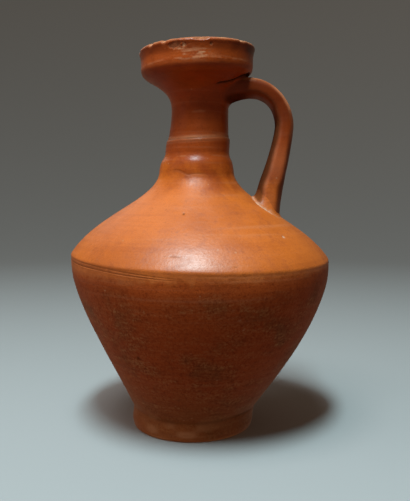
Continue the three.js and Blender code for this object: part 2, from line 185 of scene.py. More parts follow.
class JugHandle(bpy.types.PropertyGroup):
    """Sizes of the strap handle"""

    turn: turn("Turn", "Angle of the handle's plane from the X axis", 3.5)
    root_drop: length("Root drop", "Depth of the handle's root below the ridge", 16.5)
    rise: turn("Rise", "Angle at which the handle leaves the throat", 23.5)
    arch: length("Arch", "How far the handle's line is pulled out of the throat", 37)
    reach: length("Reach", "Distance of the elbow from the jug's axis", 54.4)
    elbow_drop: length("Elbow drop", "Depth of the elbow below the root", 21.5)
    elbow_round: length("Elbow round", "How far the line runs upright over the elbow", 8)
    leg_bend: length("Leg bend", "How far the line runs upright under the elbow", 25)
    foot_radius: length("Foot radius", "Distance of the handle's foot from the jug's axis", 42.7)
    foot_rise: length("Foot rise", "How far the line runs upright over the foot", 26.3)
    burial: length("Burial", "How far the handle's line runs on into the shoulder", 17)
    root_burial: length("Root burial", "How far the handle's line runs on into the throat", 10)
    twist: turn("Twist", "Angle of the strap's section from its plane", -6)
    thickness: length("Thickness", "Thickness of the strap", 10.4)
    width: length("Width", "Width of the strap", 23)
    squareness: amount("Squareness", "Exponent of the squarish oval, 2 for an ellipse", 3.4)
    root_thickness: length("Root thickness", "Thickness at the root", 14.5)
    root_width: length("Root width", "Width at the root", 25)
    root_flare: length("Root flare", "Length over which the root grows", 68)
    foot_thickness: length("Foot thickness", "Thickness at the foot", 18.5)
    foot_width: length("Foot width", "Width at the foot", 40)
    foot_flare: length("Foot flare", "Length over which the foot grows", 80)
    flare_power: amount("Flare power", "How late the foot's growth comes", 1.2)
    root_strap_reach: length("Root strap reach", "How far the root wad runs along the strap", 6)
    root_wall_reach: length("Root wall reach", "How far the root wad runs along the neck", 4.5)
    root_top_reach: length("Root top reach", "How far the root wad runs at the bowl, over the handle", 1)
    foot_strap_reach: length("Foot strap reach", "How far the foot pad runs up the strap inside", 8)
    foot_outer_reach: length("Foot outer reach", "How far the foot pad runs up the strap outside", 3)
    foot_wall_reach: length("Foot wall reach", "How far the foot pad runs over the shoulder", 4)


class JugSettling(bpy.types.PropertyGroup):
    """How the soft members settled when they were luted"""

    foot_shift: length("Foot shift", "Sideways shift of the foot", -4.9)
    foot_shift_height: length("Foot shift height", "Height over which the foot's shift dies out", 62)
    neck_shift: length("Neck shift", "Sideways shift of the neck seam", -2.3)
    mouth_shift: length("Mouth shift", "Sideways shift of the mouth", -1.9)
    belly_tilt: amount("Belly tilt", "Slope of the keel along X", -0.023)
    belly_nod: amount("Belly nod", "Slope of the keel along Y", 0.035)
    mouth_tilt: amount("Mouth tilt", "Slope of the mouth along X", 0.038)


class JugRelief(bpy.types.PropertyGroup):
    """Depths of the marks on the clay"""

    softness: length("Softness", "How far the wall line's corners are rounded", 0.45)
    foot_softness: length("Foot softness", "How far the corners at the foot's groove are rounded", 2.8)
    collar_softness: length("Collar softness", "How far the corners of the collar are rounded", 1.3)
    seam_gap: length("Seam gap", "Width of the hair seam between two members", 0.02)
    wheel_mark: length("Wheel mark", "Depth of the lines that the wheel left", 0.16)
    unevenness: length("Unevenness", "Depth of the slow swells of a hand-thrown wall", 0.3)
    throwing_ridge: length("Throwing ridge", "Depth of the finger ridges inside", 0.5)
    keel_groove: length("Keel groove", "Depth of the two lines cut under the keel", 0.15)
    keel_groove_width: length("Keel groove width", "Half width of each of the two lines", 0.3)
    crease: length("Crease", "Depth of the crease where neck and shoulder meet", 0.14)
    crease_width: length("Crease width", "Half width of that crease", 0.5)
    crack: length("Crack", "Depth of the crack at the handle's root", 0.8)
    mouth_line: length("Mouth line", "Depth of the lines at the mouth seam", 0.2)
    foot_line: length("Foot line", "Depth of the line between foot and belly", 0.3)
    foot_lump: length("Foot lump", "Depth of the foot ring's lumps", 1.5)
    lip_chip: length("Lip chip", "Depth of the chips along the lip", 1.1)
    pit: length("Pit", "Depth of the small pits", 0.16)
    strap_swell: length("Strap swell", "Depth of the strap's finger swells", 0.3)


class JugColours(bpy.types.PropertyGroup):
    """Colours of the slip, the clay and what lies on them"""

    orange_slip: colour("Orange slip", "Slip on the shoulder", 0.62, 0.135, 0.012)
    red_slip: colour("Red slip", "Slip on the neck, mouth and handle", 0.4, 0.066, 0.008)
    brown_slip: colour("Brown slip", "Slip on the belly and foot", 0.44, 0.076, 0.012)
    olive_stain: colour("Olive stain", "Earth stain on the belly and foot", 0.2, 0.11, 0.04)
    clay: colour("Clay", "Bare clay where the slip is gone", 0.55, 0.25, 0.13)
    dust: colour("Dust", "Pale dust in the grain of the belly", 0.52, 0.23, 0.095)
    # Grime: real dirt in blots, and painted shade in creases, grooves, cracks, pits and shaded sides
    grime: colour("Grime", "Dirt in the creases", 0.045, 0.02, 0.01)
    # Painted shade: a dark red for the slip where the bowl, rim and handle are in shade
    painted_shade_colour: colour("Burnt slip", "Slip that the fire burnt darker", 0.1, 0.011, 0.001)
    lime: colour("Lime", "Chalky crust", 0.66, 0.47, 0.34)
    inside_clay: colour("Inside clay", "Clay of the seam strip", 0.5, 0.23, 0.12)


class JugStage(bpy.types.PropertyGroup):
    """Floor, lights and camera"""

    floor_radius: metres("Floor radius", "Flat part of the floor", 1.1)
    floor_rise: metres("Floor rise", "Round edge of the floor", 1.4)
    floor_colour: colour("Floor colour", "Pale grey of the floor", 0.4, 0.4, 0.4)
    key_power: watts("Key power", "Broad light high at the front", 5.2)
    glint_power: watts("Glint power", "Tall light that makes the shines", 11)
    glint_colour: colour("Glint colour", "Cool colour of the tall light", 0.64, 0.93, 1)
    haze_power: watts("Haze power", "Dim sheen from behind", 2)
    left_power: watts("Left power", "Weak light from the left", 2)
    room_colour: colour("Room colour", "Colour of the light that the room throws back", 1, 0.76, 0.55)
    sky: amount("Sky", "Brightness of the room above", 0.14)
    ground: amount("Ground", "Brightness of the room below", 0.18)
    camera_distance: metres("Camera distance", "From the jug's axis", 0.418)
    camera_height: metres("Camera height", "Over the table", 0.1475)
    camera_pitch: turn("Camera pitch", "Angle that the camera looks down", 4.73)
    camera_yaw: turn("Camera yaw", "Angle that the camera looks to the right", 0.425)
    lens: FloatProperty(name="Lens", description="Focal length in millimetres", default=46.86, unit="CAMERA")


# Curves and noise

def smooth(value):
    """An S-curve: 0 below 0, 1 above 1 and 3v^2 - 2v^3 between."""
    v = np.clip(value, 0, 1)
    return v * v * (3 - 2 * v)


def ramp(value, low, high):
    """An S-curve from 0 at low to 1 at high."""
    return smooth((value - low) / (high - low))


def bell(offset, half_width):
    """A bell curve: 1 in the middle, exp(-1) at half a width from it."""
    return np.exp(-((offset / half_width) ** 2))


def bezier(*controls):
    """Points on a smooth curve: the sum of its control points, each weighted by its binomial term."""
    t = np.linspace(0, 1, CURVE_STEPS)[:, None]
    degree = len(controls) - 1
    weights = [math.comb(degree, k) * t**k * (1 - t) ** (degree - k) for k in range(degree + 1)]
    return sum(weight * np.array(control, float) for weight, control in zip(weights, controls))


def arc(centre, radius, start, end):
    """Points on a circle's arc: its centre plus the radius times the angle's cosine and sine."""
    angle = np.linspace(start, end, CURVE_STEPS)
    return np.stack([centre[0] + radius * np.cos(angle), centre[1] + radius * np.sin(angle)], axis=1)


def running_length(points):
    """The length along a line of points, from its first point to each of them."""
    steps = np.linalg.norm(np.diff(points, axis=0), axis=1)
    return np.concatenate([[0], np.cumsum(steps)])


def turned(angle, first, second):
    """A turn of 3-D points by an angle from one axis to another, as a matrix."""
    matrix = np.eye(3)
    matrix[first, first] = matrix[second, second] = math.cos(angle)
    matrix[first, second] = math.sin(angle)
    matrix[second, first] = -math.sin(angle)
    return matrix


NOISE_TURN = turned(0.7, 0, 1)

# Odd numbers and shifts that mix a lattice cell's coordinates and its seed
CELL_FACTORS = (73856093, 19349663, 83492791)
SEED_FACTOR = 2654435761
MIXING_STEPS = ((15, 2246822519), (13, 3266489917))
LOW_BITS = 0xFFFF


def lattice(cell, seed):
    """A fixed value from -1 to 1 for each lattice cell: its whole coordinates, multiplied, mixed and cut."""
    mixed = np.uint64(seed * SEED_FACTOR)
    for k, factor in enumerate(CELL_FACTORS):
        mixed = mixed ^ (cell[..., k].astype(np.uint64) * np.uint64(factor))
    for shift, factor in MIXING_STEPS:
        mixed = (mixed ^ (mixed >> np.uint64(shift))) * np.uint64(factor)
    return ((mixed >> np.uint64(16)) & np.uint64(LOW_BITS)).astype(float) / (LOW_BITS // 2) - 1


def noise(points, seed):
    """Smooth noise from -1 to 1: the lattice values at a cell's eight corners, blended by S-curves. The
    lattice is turned, so that its rows run askew to the jug's axes."""
    points = points @ NOISE_TURN
    cell = np.floor(points).astype(np.int64)
    part = smooth(points - cell)
    total = np.zeros(points.shape[:-1])
    for corner in np.ndindex(2, 2, 2):
        weight = np.prod(np.where(corner, part, 1 - part), axis=-1)
        total += weight * lattice(cell + corner, seed)
    return total


def rows_between(start, end, spacing):
    """Stations from start to end that lie about as far apart as spacing says. They are even steps of the
    running sum of 1/spacing."""
    fine = np.linspace(start, end, STATION_STEPS)
    density = 1 / spacing(fine)
    count = np.concatenate([[0], np.cumsum((density[1:] + density[:-1]) / 2 * np.diff(fine))])
    steps = max(math.ceil(abs(count[-1])), 2)
    return np.interp(np.linspace(0, 1, steps + 1), count / count[-1], fine)


# Wall line and settling

class Jug:
    """The jug's seams, wall line and handle line, worked out from the scene's sizes."""

    def __init__(self, scene):
        form = self.form = scene.jug_form
        self.handle = scene.jug_handle
        self.settling = scene.jug_settling
        self.relief = scene.jug_relief
        self.foot_top = form.foot_height
        self.keel = self.foot_top + form.belly_height
        self.neck_seam = self.keel + form.shoulder_height
        self.mouth_seam = self.neck_seam + form.collar_height
        self.ridge = self.mouth_seam + form.funnel_height
        self.lip = self.ridge + form.rim_height
        self.tier_top = self.neck_seam + form.tier_height
        self.throat = self.mouth_seam + form.throat_height
        self.bowl_turn = self.ridge - form.bowl_turn
        self.floor_top = form.floor_lift + form.floor
        self.keel_inside = self.keel + form.keel_bevel
        self.neck_inside = self.neck_seam - form.socket_bevel
        self.mouth_inside = self.mouth_seam - form.socket_bevel
        self.ridge_inside = self.ridge + form.ridge_bevel
        self.belly_bore = form.belly_radius - form.belly_wall
        self.neck_bore = form.neck_radius - form.neck_wall
        self.collar_bore = form.collar_top_radius - form.neck_wall
        self.throat_bore = form.throat_radius - form.neck_wall
        self.bowl_bore = form.rim_radius - form.rim_wall
        self.seat_radius = form.foot_bore_radius - form.foot_groove
        self.keel_centre = np.array([form.belly_radius - form.keel_round, self.keel + form.keel_lift])
        self.uphill = np.array([-math.sin(form.keel_turn), math.cos(form.keel_turn)])
        self.crown = (form.rim_radius - form.rim_wall / 2, self.lip)
        corners = np.vstack([self.outer_line(), self.inner_line()])
        self.wall = WallLine(corners, self.relief, self.foot_top, (self.tier_top, self.mouth_seam))

    def outer_line(self):
        """The outside: foot ring, flaring belly, keel, shoulder, two-tiered collar, throat, bowl and rim."""
        f = self.form
        contact = f.foot_bore_radius + f.foot_contact_width
        belly_foot = (f.foot_seam_radius + f.foot_groove, self.foot_top + f.foot_groove)
        keel = arc(self.keel_centre, f.keel_round, 0, f.keel_turn)
        tier_middle = (f.neck_radius + f.tier_radius) / 2 + f.tier_bulge
        ridge_radius = f.rim_radius - f.rim_taper
        bowl_radius = ridge_radius - f.ridge_ledge
        lip_radius = f.rim_radius + f.lip_flare
        return np.vstack([
            [(f.foot_bore_radius, 0)],
            bezier((contact, 0), (f.foot_radius, 0), (f.foot_radius, f.foot_round_height)),
            [(f.foot_radius, self.foot_top - f.foot_lip), (f.foot_seam_radius, self.foot_top)],
            bezier(belly_foot, (belly_foot[0] + f.belly_flare_out, belly_foot[1] + f.belly_flare_up),
                   (f.belly_radius, self.keel - f.belly_round), (f.belly_radius, self.keel)),
            keel,
            bezier(keel[-1], keel[-1] + self.uphill * f.shoulder_reach,
                   (f.neck_radius + f.neck_lean, self.neck_seam - f.neck_sweep),
                   (f.neck_radius, self.neck_seam)),
            bezier((f.neck_radius, self.neck_seam), (tier_middle, (self.neck_seam + self.tier_top) / 2),
                   (f.tier_radius, self.tier_top)),
            bezier((f.tier_radius, self.tier_top), (f.collar_top_radius, self.tier_top + f.tier_step),
                   (f.collar_top_radius, self.tier_top + 2 * f.tier_step)),
            [(f.collar_top_radius, self.mouth_seam)],
            bezier((f.collar_top_radius - f.mouth_ledge, self.mouth_seam),
                   (f.throat_radius, (self.mouth_seam + self.throat) / 2), (f.throat_radius, self.throat)),
            bezier((f.throat_radius, self.throat), (f.throat_radius, self.bowl_turn),
                   (bowl_radius, self.bowl_turn), (bowl_radius, self.ridge - f.mouth_ledge)),
            bezier((ridge_radius, self.ridge), (ridge_radius - f.lip_flare, (self.ridge + self.lip) / 2),
                   (lip_radius, self.lip - f.rim_lip)),
            bezier((lip_radius, self.lip - f.rim_lip), (lip_radius, self.lip), self.crown),
        ])

    def inner_line(self):
        """The inside, from the lip down: rim, bowl, neck, shoulder, belly and floor."""
        f = self.form
        bowl_floor = self.bowl_turn + f.neck_wall
        inwards = np.array([-math.cos(f.keel_turn), -math.sin(f.keel_turn)])
        keel_end = self.keel_centre - inwards * f.keel_round
        shoulder_pull = keel_end + self.uphill * f.shoulder_reach + inwards * f.belly_wall
        neck_sweep = self.neck_seam - f.neck_sweep - f.neck_wall / 2
        corner_radius = f.foot_seam_radius - f.floor_corner
        corner_top = self.floor_top + f.floor_corner
        return np.vstack([
            bezier(self.crown, (self.bowl_bore, self.lip), (self.bowl_bore, self.lip - f.rim_lip)),
            bezier((self.bowl_bore, self.ridge_inside), (self.bowl_bore, bowl_floor),
                   (self.throat_bore, bowl_floor), (self.throat_bore, self.throat)),
            [(self.collar_bore, self.mouth_inside),
             ((self.neck_bore + self.collar_bore) / 2, self.tier_top)],
            bezier((self.neck_bore, self.neck_inside), (self.neck_bore, neck_sweep),
                   shoulder_pull, (self.belly_bore, self.keel_inside)),
            bezier((self.belly_bore, self.keel_inside), (self.belly_bore, self.keel - f.belly_round),
                   (corner_radius + f.belly_flare_out, corner_top + f.belly_flare_up),
                   (corner_radius, corner_top)),
            bezier((corner_radius, corner_top), (corner_radius - f.floor_corner / 2, self.floor_top),
                   (corner_radius - 2 * f.floor_corner, self.floor_top)),
            [(0, self.floor_top)],
        ])

    def settle(self, points):
        """Moves points as the soft members settled: x grows by a shift, and z by a tilt times x and a nod
        times y, all set by z."""
        s = self.settling
        x, y, z = np.moveaxis(np.asarray(points), -1, 0)
        risen = np.clip((z - self.foot_top / 2) / s.foot_shift_height, 0, 1)
        in_neck = ramp(z, self.keel, self.neck_seam) * (1 - ramp(z, self.neck_seam, self.throat))
        in_mouth = ramp(z, self.throat, self.ridge)
        over_belly = ramp(z, (self.keel + self.neck_seam) / 2, self.neck_seam)
        in_belly = ramp(z, self.foot_top, self.keel) * (1 - over_belly)
        shift = s.foot_shift * (1 - risen) ** 2 + s.neck_shift * in_neck + s.mouth_shift * in_mouth
        tilt = s.belly_tilt * in_belly + s.mouth_tilt * ramp(z, self.neck_seam, self.mouth_seam)
        nod = s.belly_nod * in_belly
        return np.stack([x + shift, y, z + tilt * x + nod * y], axis=-1)

    def unsettled_turn(self, points):
        """The turn in degrees from the front, and the height in millimetres, of points not yet settled."""
        turn = (np.degrees(np.arctan2(points[..., 1], points[..., 0])) + 270) % 360 - 180
        return turn, points[..., 2] / MM

    def skin(self, station, theta, lift=0.0):
        """The marked surface at stations of the wall line and angles round the axis, raised by a lift."""
        station, theta = np.broadcast_arrays(station, theta)
        radius, height, out, up = self.wall.at(station)
        inside = ramp(station, self.wall.crown, self.wall.crown + self.form.rim_wall)
        skin = Skin(theta, radius, height, inside)
        for marks in WALL_MARKS:
            marks(skin, self)
        radius = np.minimum(radius + out * (skin.push + lift), self.form.belly_radius)
        height = np.clip(height + up * (skin.push + lift), 0, self.lip)
        skin.points = np.stack([radius * np.cos(theta), radius * np.sin(theta), height], axis=-1)
        return skin

    def outside_rows(self, low, high, spacing):
        """Stations up the outside from one seam to the next, short of both by half a hair seam."""
        gap = self.relief.seam_gap / 2
        return rows_between(self.wall.outside(low) + gap, self.wall.outside(high) - gap, spacing)

    def inside_rows(self, high, low, spacing):
        """Stations down the inside from one seam to the next, short of both by half a hair seam."""
        gap = self.relief.seam_gap / 2
        return rows_between(self.wall.inside(high) + gap, self.wall.inside(low) - gap, spacing)


class WallLine:
    """The wall line in a plane through the axis: up the outside, over the lip and down to the floor."""

    def __init__(self, corners, relief, foot_top, collar_corners):
        """Evens out the line's steps and blurs it, so that its corners are soft, most at foot and collar."""
        along = running_length(corners)
        even = np.arange(0, along[-1], WALL_STEP)
        points = np.stack([np.interp(even, along, corners[:, k]) for k in range(2)], axis=1)
        height = points[:, 1:]
        rising = (np.arange(len(points)) < np.argmax(height))[:, None]
        over_ring = ramp(height, 0.4 * foot_top, 0.8 * foot_top)
        under_belly = 1 - ramp(height, 1.5 * foot_top, 2.5 * foot_top)
        near_foot = over_ring * under_belly
        near_corners = sum(bell(height - corner, COLLAR_CORNER_REACH) for corner in collar_corners)
        in_collar = np.clip(near_corners, 0, 1)
        line = self.blurred(points, relief.softness)
        for softness, share in ((relief.foot_softness, near_foot), (relief.collar_softness, in_collar)):
            line = line + (self.blurred(points, softness) - line) * share * rising
        self.points = line
        self.length = running_length(self.points)
        steps = np.gradient(self.points, axis=0)
        steps /= np.linalg.norm(steps, axis=1, keepdims=True)
        self.normals = np.stack([steps[:, 1], -steps[:, 0]], axis=1)
        self.top = int(np.argmax(self.points[:, 1]))
        self.crown = self.length[self.top]
        self.end = self.length[-1]

    def blurred(self, points, softness):
        """A line averaged with its neighbours by a bell curve. Both ends are first run on, turned about."""
        reach = math.ceil(3 * softness / WALL_STEP)
        weights = bell(np.arange(-reach, reach + 1) * WALL_STEP, math.sqrt(2) * softness)
        before = 2 * points[0] - points[reach:0:-1]
        after = 2 * points[-1] - points[-2:-reach - 2:-1]
        padded = np.vstack([before, points, after])
        columns = [np.convolve(padded[:, k], weights / weights.sum(), "valid") for k in range(2)]
        return np.stack(columns, axis=1)

    def at(self, station):
        """Radius, height and the two parts of the outward normal at stations along the line."""
        columns = np.hstack([self.points, self.normals]).T
        return [np.interp(station, self.length, column) for column in columns]

    def outside(self, height):
        """The station on the outside at a height."""
        return np.interp(height, self.points[:self.top, 1], self.length[:self.top])

    def inside(self, height):
        """The station on the inside at a height."""
        return np.interp(-height, -self.points[self.top:, 1], self.length[self.top:])

    def outer_radius(self, height):
        """The radius of the outside at a height."""
        return np.interp(height, self.points[:self.top, 1], self.points[:self.top, 0])


# Marks on the wall. Turns are degrees from the front, minus to the left, and heights are in millimetres.

class Skin:
    """A patch of the wall that takes marks: how far its points are pushed, what lies bare or on it, and
    where shade is painted on it.
    """

    def __init__(self, theta, radius, height, inside):
        self.turn = (np.degrees(theta) + 270) % 360 - 180
        self.height = height / MM
        self.inside = inside
        self.place = np.stack([radius * np.cos(theta), radius * np.sin(theta), height], axis=-1) / MM
        self.radius = radius / MM
        self.push = np.zeros(height.shape)
        self.bare = np.zeros(height.shape)
        self.grime = np.zeros(height.shape)
        self.lime = np.zeros(height.shape)
        self.painted_shade = np.zeros(height.shape)

    def noise(self, seed, size, tall=None):
        """Noise whose swells are some millimetres long, and as tall unless their height is given."""
        return noise(self.place / (size, size, tall or size), seed)


WheelMark = namedtuple("WheelMark", "seed run height share")
WHEEL_MARKS = (
    WheelMark(seed=1, run=150, height=7, share=0.55),
    WheelMark(seed=2, run=90, height=2.6, share=0.3),
    WheelMark(seed=3, run=60, height=1.1, share=0.15),
)


def wheel_marks(skin, jug):
    """Level lines: noise that is long round the jug and low in height, in three sizes."""
    lines = sum(m.share * skin.noise(m.seed, m.run, m.height) for m in WHEEL_MARKS)
    skin.push += (1 - skin.inside) * jug.relief.wheel_mark * lines


def swells(skin, jug):
    """Slow swells of the hand-thrown wall: noise of 40 and 15 mm, kept below the keel's full radius."""
    uneven = 0.8 * skin.noise(4, 40) + 0.2 * skin.noise(5, 15)
    under_keel = bell(skin.height - jug.keel / MM, 9)
    skin.push += jug.relief.unevenness * (uneven - under_keel) * (1 - 0.5 * skin.inside)


def throwing_ridges(skin, jug):
    """Finger ridges inside: a wave that climbs once round, uneven by noise, and bare clay deep down."""
    spacing = 9
    wave = np.cos(2 * math.pi * (skin.height / spacing - skin.turn / 360) + 1.2 * skin.noise(6, 30))
    deep = 1 - ramp(skin.height, jug.mouth_seam / MM, jug.throat / MM)
    skin.push += skin.inside * jug.relief.throwing_ridge * (0.3 + 0.7 * deep) * 0.5 * wave
    skin.bare += skin.inside * deep * 0.6


def groove(skin, offset, depth, half_width, lip):
    """A cut line: a bell-shaped hollow at offset 0 with a low raised lip under it. Callers paint shade into
    the hollow.
    """
    hollow = bell(offset, half_width)
    raised = bell(offset + 2 * half_width, half_width)
    skin.push += depth * (lip * raised - hollow)
    return hollow, raised


def keel_grooves(skin, jug):
    """Two lines cut under the keel. They start left of the front, climb, part and run round to the back."""
    relief = jug.relief
    leftwards = np.mod(-skin.turn, 360)
    climb = smooth((leftwards - 7) / 45)
    upper = jug.keel / MM - 0.2 + 2.9 * climb
    lower = upper - 1 - climb
    fade = ramp(leftwards, 1, 22) * (1 - ramp(leftwards, 205, 245)) * (1 - skin.inside)
    strength = fade * (0.75 + 0.35 * skin.noise(11, 16))
    depth = strength * relief.keel_groove
    half_width = relief.keel_groove_width / MM
    for line in (upper, lower):
        offset = skin.height - line - 0.25 * skin.noise(12, 12)
        hollow, raised = groove(skin, offset, depth, half_width, 0.35)
        # Painted shade in the hollows, and a pale painted highlight on the raised lips
        skin.grime += 0.5 * strength * hollow
        skin.bare += 0.1 * strength * raised


def keel_wear(skin, jug):
    """A worn band under the keel's edge: bare clay and dirt in small blots, set by fine noise."""
    keel = jug.keel / MM
    over = ramp(skin.height, keel - 6, keel - 1)
    under = 1 - ramp(skin.height, keel + 2, keel + 4)
    band = over * under * (1 - skin.inside)
    blots = 0.6 * skin.noise(51, 5, 2) + 0.5 * skin.noise(52, 1.6)
    skin.grime += 0.16 * band * np.clip(0.25 + blots, 0, 1)
    skin.bare += 0.06 * band * np.clip(0.3 - blots, 0, 1)


def neck_crease(skin, jug):
    """The luted seam of the neck: a crease that drops by a step left of the front and fades to the right."""
    line = jug.neck_seam / MM - 1.6 + 2.2 * (1 - ramp(skin.turn, -30, -13)) - 0.6 * bell(skin.turn + 11, 4)
    shown = 0.2 + 0.8 * ramp(skin.turn, -45, -25) * (1 - ramp(skin.turn, 2, 20))
    strength = shown * (1 - skin.inside) * (0.85 + 0.3 * skin.noise(13, 9))
    offset = skin.height - line - 0.3 * skin.noise(14, 9)
    hollow, raised = groove(skin, offset, strength * jug.relief.crease, jug.relief.crease_width / MM, 0.4)
    # Painted shade in the crease, and a pale painted highlight on its raised lip
    skin.grime += 0.4 * strength * hollow
    skin.bare += 0.12 * strength * raised


CRACK_TURNS = (24, 29, 42, 58, 65, 76)
CRACK_HEIGHTS = (214.6, 214.7, 215.4, 217.4, 219.2, 221.3)


def crack_line(turn, height):
    """The crack along the top of the handle's root: 1 on a line that widens towards the handle."""
    line = np.interp(turn, CRACK_TURNS, CRACK_HEIGHTS)
    shown = ramp(turn, 22, 36) * (1 - ramp(turn, 92, 104))
    half_width = 0.45 + 0.7 * ramp(turn, 40, 75)
    return shown * bell(height - line, half_width)


def handle_crack(skin, jug):
    """The crack sunk into the wall, with painted shade in it."""
    hollow = crack_line(skin.turn, skin.height - 0.2 * skin.noise(53, 4)) * (1 - skin.inside)
    skin.push -= jug.relief.crack * hollow
    skin.grime += hollow


def mouth_lines(skin, jug):
    """The luted seam under the throat: a thin line that rises to both sides, and a fainter one below it."""
    strength = (1 - skin.inside) * (0.7 + 0.4 * skin.noise(15, 10))
    line = jug.mouth_seam / MM - 0.4 + 0.8 * ramp(np.abs(skin.turn + 20), 20, 80)
    for drop, share in ((0, 1), (2.1, 0.45)):
        offset = skin.height - line + drop - 0.2 * skin.noise(16, 12)
        hollow, _ = groove(skin, offset, share * strength * jug.relief.mouth_line, 0.45, 0.3)
        # Painted shade in each line, and a pale, dull band over it that is partly a painted highlight
        skin.grime += 0.5 * share * strength * hollow
        skin.bare += 0.45 * share * strength * bell(offset - 0.6, 1.2)


def foot_lumps(skin, jug):
    """The foot ring's lumps: noise of 24 and 9 mm that only cuts in, a groove that sinks at the front and
    fades to the left, and wear on the ring that it stands on and in blots at the front and left."""
    on_foot = (1 - ramp(skin.height, jug.foot_top / MM - 2, jug.foot_top / MM + 4)) * (1 - skin.inside)
    lumps = 0.7 * skin.noise(17, 24) + 0.3 * skin.noise(18, 9)
    skin.push += on_foot * ramp(skin.height, 0.2, 3) * jug.relief.foot_lump * (lumps - 0.9) / 2
    line = jug.foot_top / MM - 1.8 * bell(skin.turn + 10, 45)
    shown = (0.25 + 0.75 * ramp(skin.turn, -60, -15)) * (1 - skin.inside) * (0.8 + 0.4 * skin.noise(19, 12))
    hollow, _ = groove(skin, skin.height - line, shown * jug.relief.foot_line, 1.1, 0.5)
    # Painted shade in the groove
    skin.grime += 0.45 * shown * hollow
    worn = 1 - ramp(skin.height, 0.2, 1.6 + 1.2 * skin.noise(20, 8))
    rubbed = ramp(skin.noise(58, 11, 5), -0.1, 0.5) * (1 - ramp(skin.turn, 10, 50))
    skin.bare += on_foot * (0.7 * worn + 0.45 * rubbed)


def lip_chips(skin, jug):
    """Flakes off the lip: noise round the rim, cut off below a level, in a band along its outer edge."""
    edge = bell(skin.height - jug.lip / MM + 0.6, 1.7)
    bore_side = 1 - ramp(skin.radius, jug.bowl_bore / MM, jug.form.rim_radius / MM - 1.5)
    battered = 0.55 + 0.45 * ramp(skin.turn, -100, -75) * (1 - ramp(skin.turn, -12, 8))
    flakes = battered * ramp(0.55 * skin.noise(21, 5.5, 40) + 0.4 * skin.noise(22, 2.2, 9), 0, 0.6)
    on_rim = edge * (1 - 0.7 * bore_side)
    skin.push -= jug.relief.lip_chip * flakes * on_rim
    skin.push -= 0.12 * MM * on_rim * (1 + skin.noise(23, 1.6))
    rubbed = bell(skin.height - jug.lip / MM + 0.5, 0.9)
    skin.bare += np.clip(flakes * on_rim * 0.5 + rubbed * (0.4 + 0.4 * skin.noise(24, 5)), 0, 1)


def rim_wear(skin, jug):
    """Slip rubbed off in level streaks: along the ridge, at the rim's front and on the collar's step. The
    pale streak on the step is partly a painted highlight.
    """
    ridge = bell(skin.height - jug.ridge / MM - 0.4, 0.9)
    patch = bell(skin.turn + 3, 13) * bell(skin.height - jug.ridge / MM - 2.8, 2.8)
    strong = bell(skin.turn - 7, 3.5) * bell(skin.height - jug.ridge / MM - 2.8, 2.2)
    step = bell(skin.height - jug.tier_top / MM - 2.6, 0.45)
    streaks = ramp(0.6 * skin.noise(25, 6, 0.9) + 0.55 * skin.noise(54, 1.8, 0.9), -0.25, 0.35)
    skin.bare += (1 - skin.inside) * streaks * (0.2 * ridge + 0.75 * patch + 0.4 * strong + 0.25 * step)


def painted_shade_marks(skin, jug):
    """Painted shade as dark red slip: on the throat and under the bowl, which the bowl shades, on the rim's
    top under the lip's overhang, and on the rim's right, which is turned from the light.
    """
    ridge = jug.ridge / MM
    over_throat = ramp(skin.height, jug.throat / MM, jug.bowl_turn / MM)
    bowl = over_throat * (1 - ramp(skin.height, ridge - 2, ridge))
    left = 1 - ramp(skin.turn, -60, -10)
    on_rim = ramp(skin.height, ridge - 1, ridge + 1)
    upper = ramp(skin.height + 0.8 * skin.noise(56, 9, 3), ridge + 4, ridge + 7)
    right = ramp(skin.turn, 15, 75) * (1 - ramp(skin.turn, 120, 170))
    in_throat = ramp(skin.height, jug.mouth_seam / MM - 2, jug.mouth_seam / MM + 4)
    throat = in_throat * (1 - over_throat)
    front = bell(skin.turn + 2, 20)
    painted_shade = bowl * (0.2 + 0.25 * left) + 0.12 * throat
    painted_shade += on_rim * (0.4 * upper * (1 - 0.5 * front) + 0.4 * right)
    skin.painted_shade += (1 - skin.inside) * painted_shade * (1 + 0.4 * skin.noise(57, 6))


def pits(skin, jug):
    """Small pits all over: the tops of a fine noise, sunk in, with painted shade in them."""
    peaks = ramp(skin.noise(26, 1.6), 0.76, 0.92) * ramp(skin.noise(27, 11), 0.2, 0.6)
    skin.push -= (1 - skin.inside) * jug.relief.pit * peaks
    skin.grime += (1 - skin.inside) * 0.35 * peaks


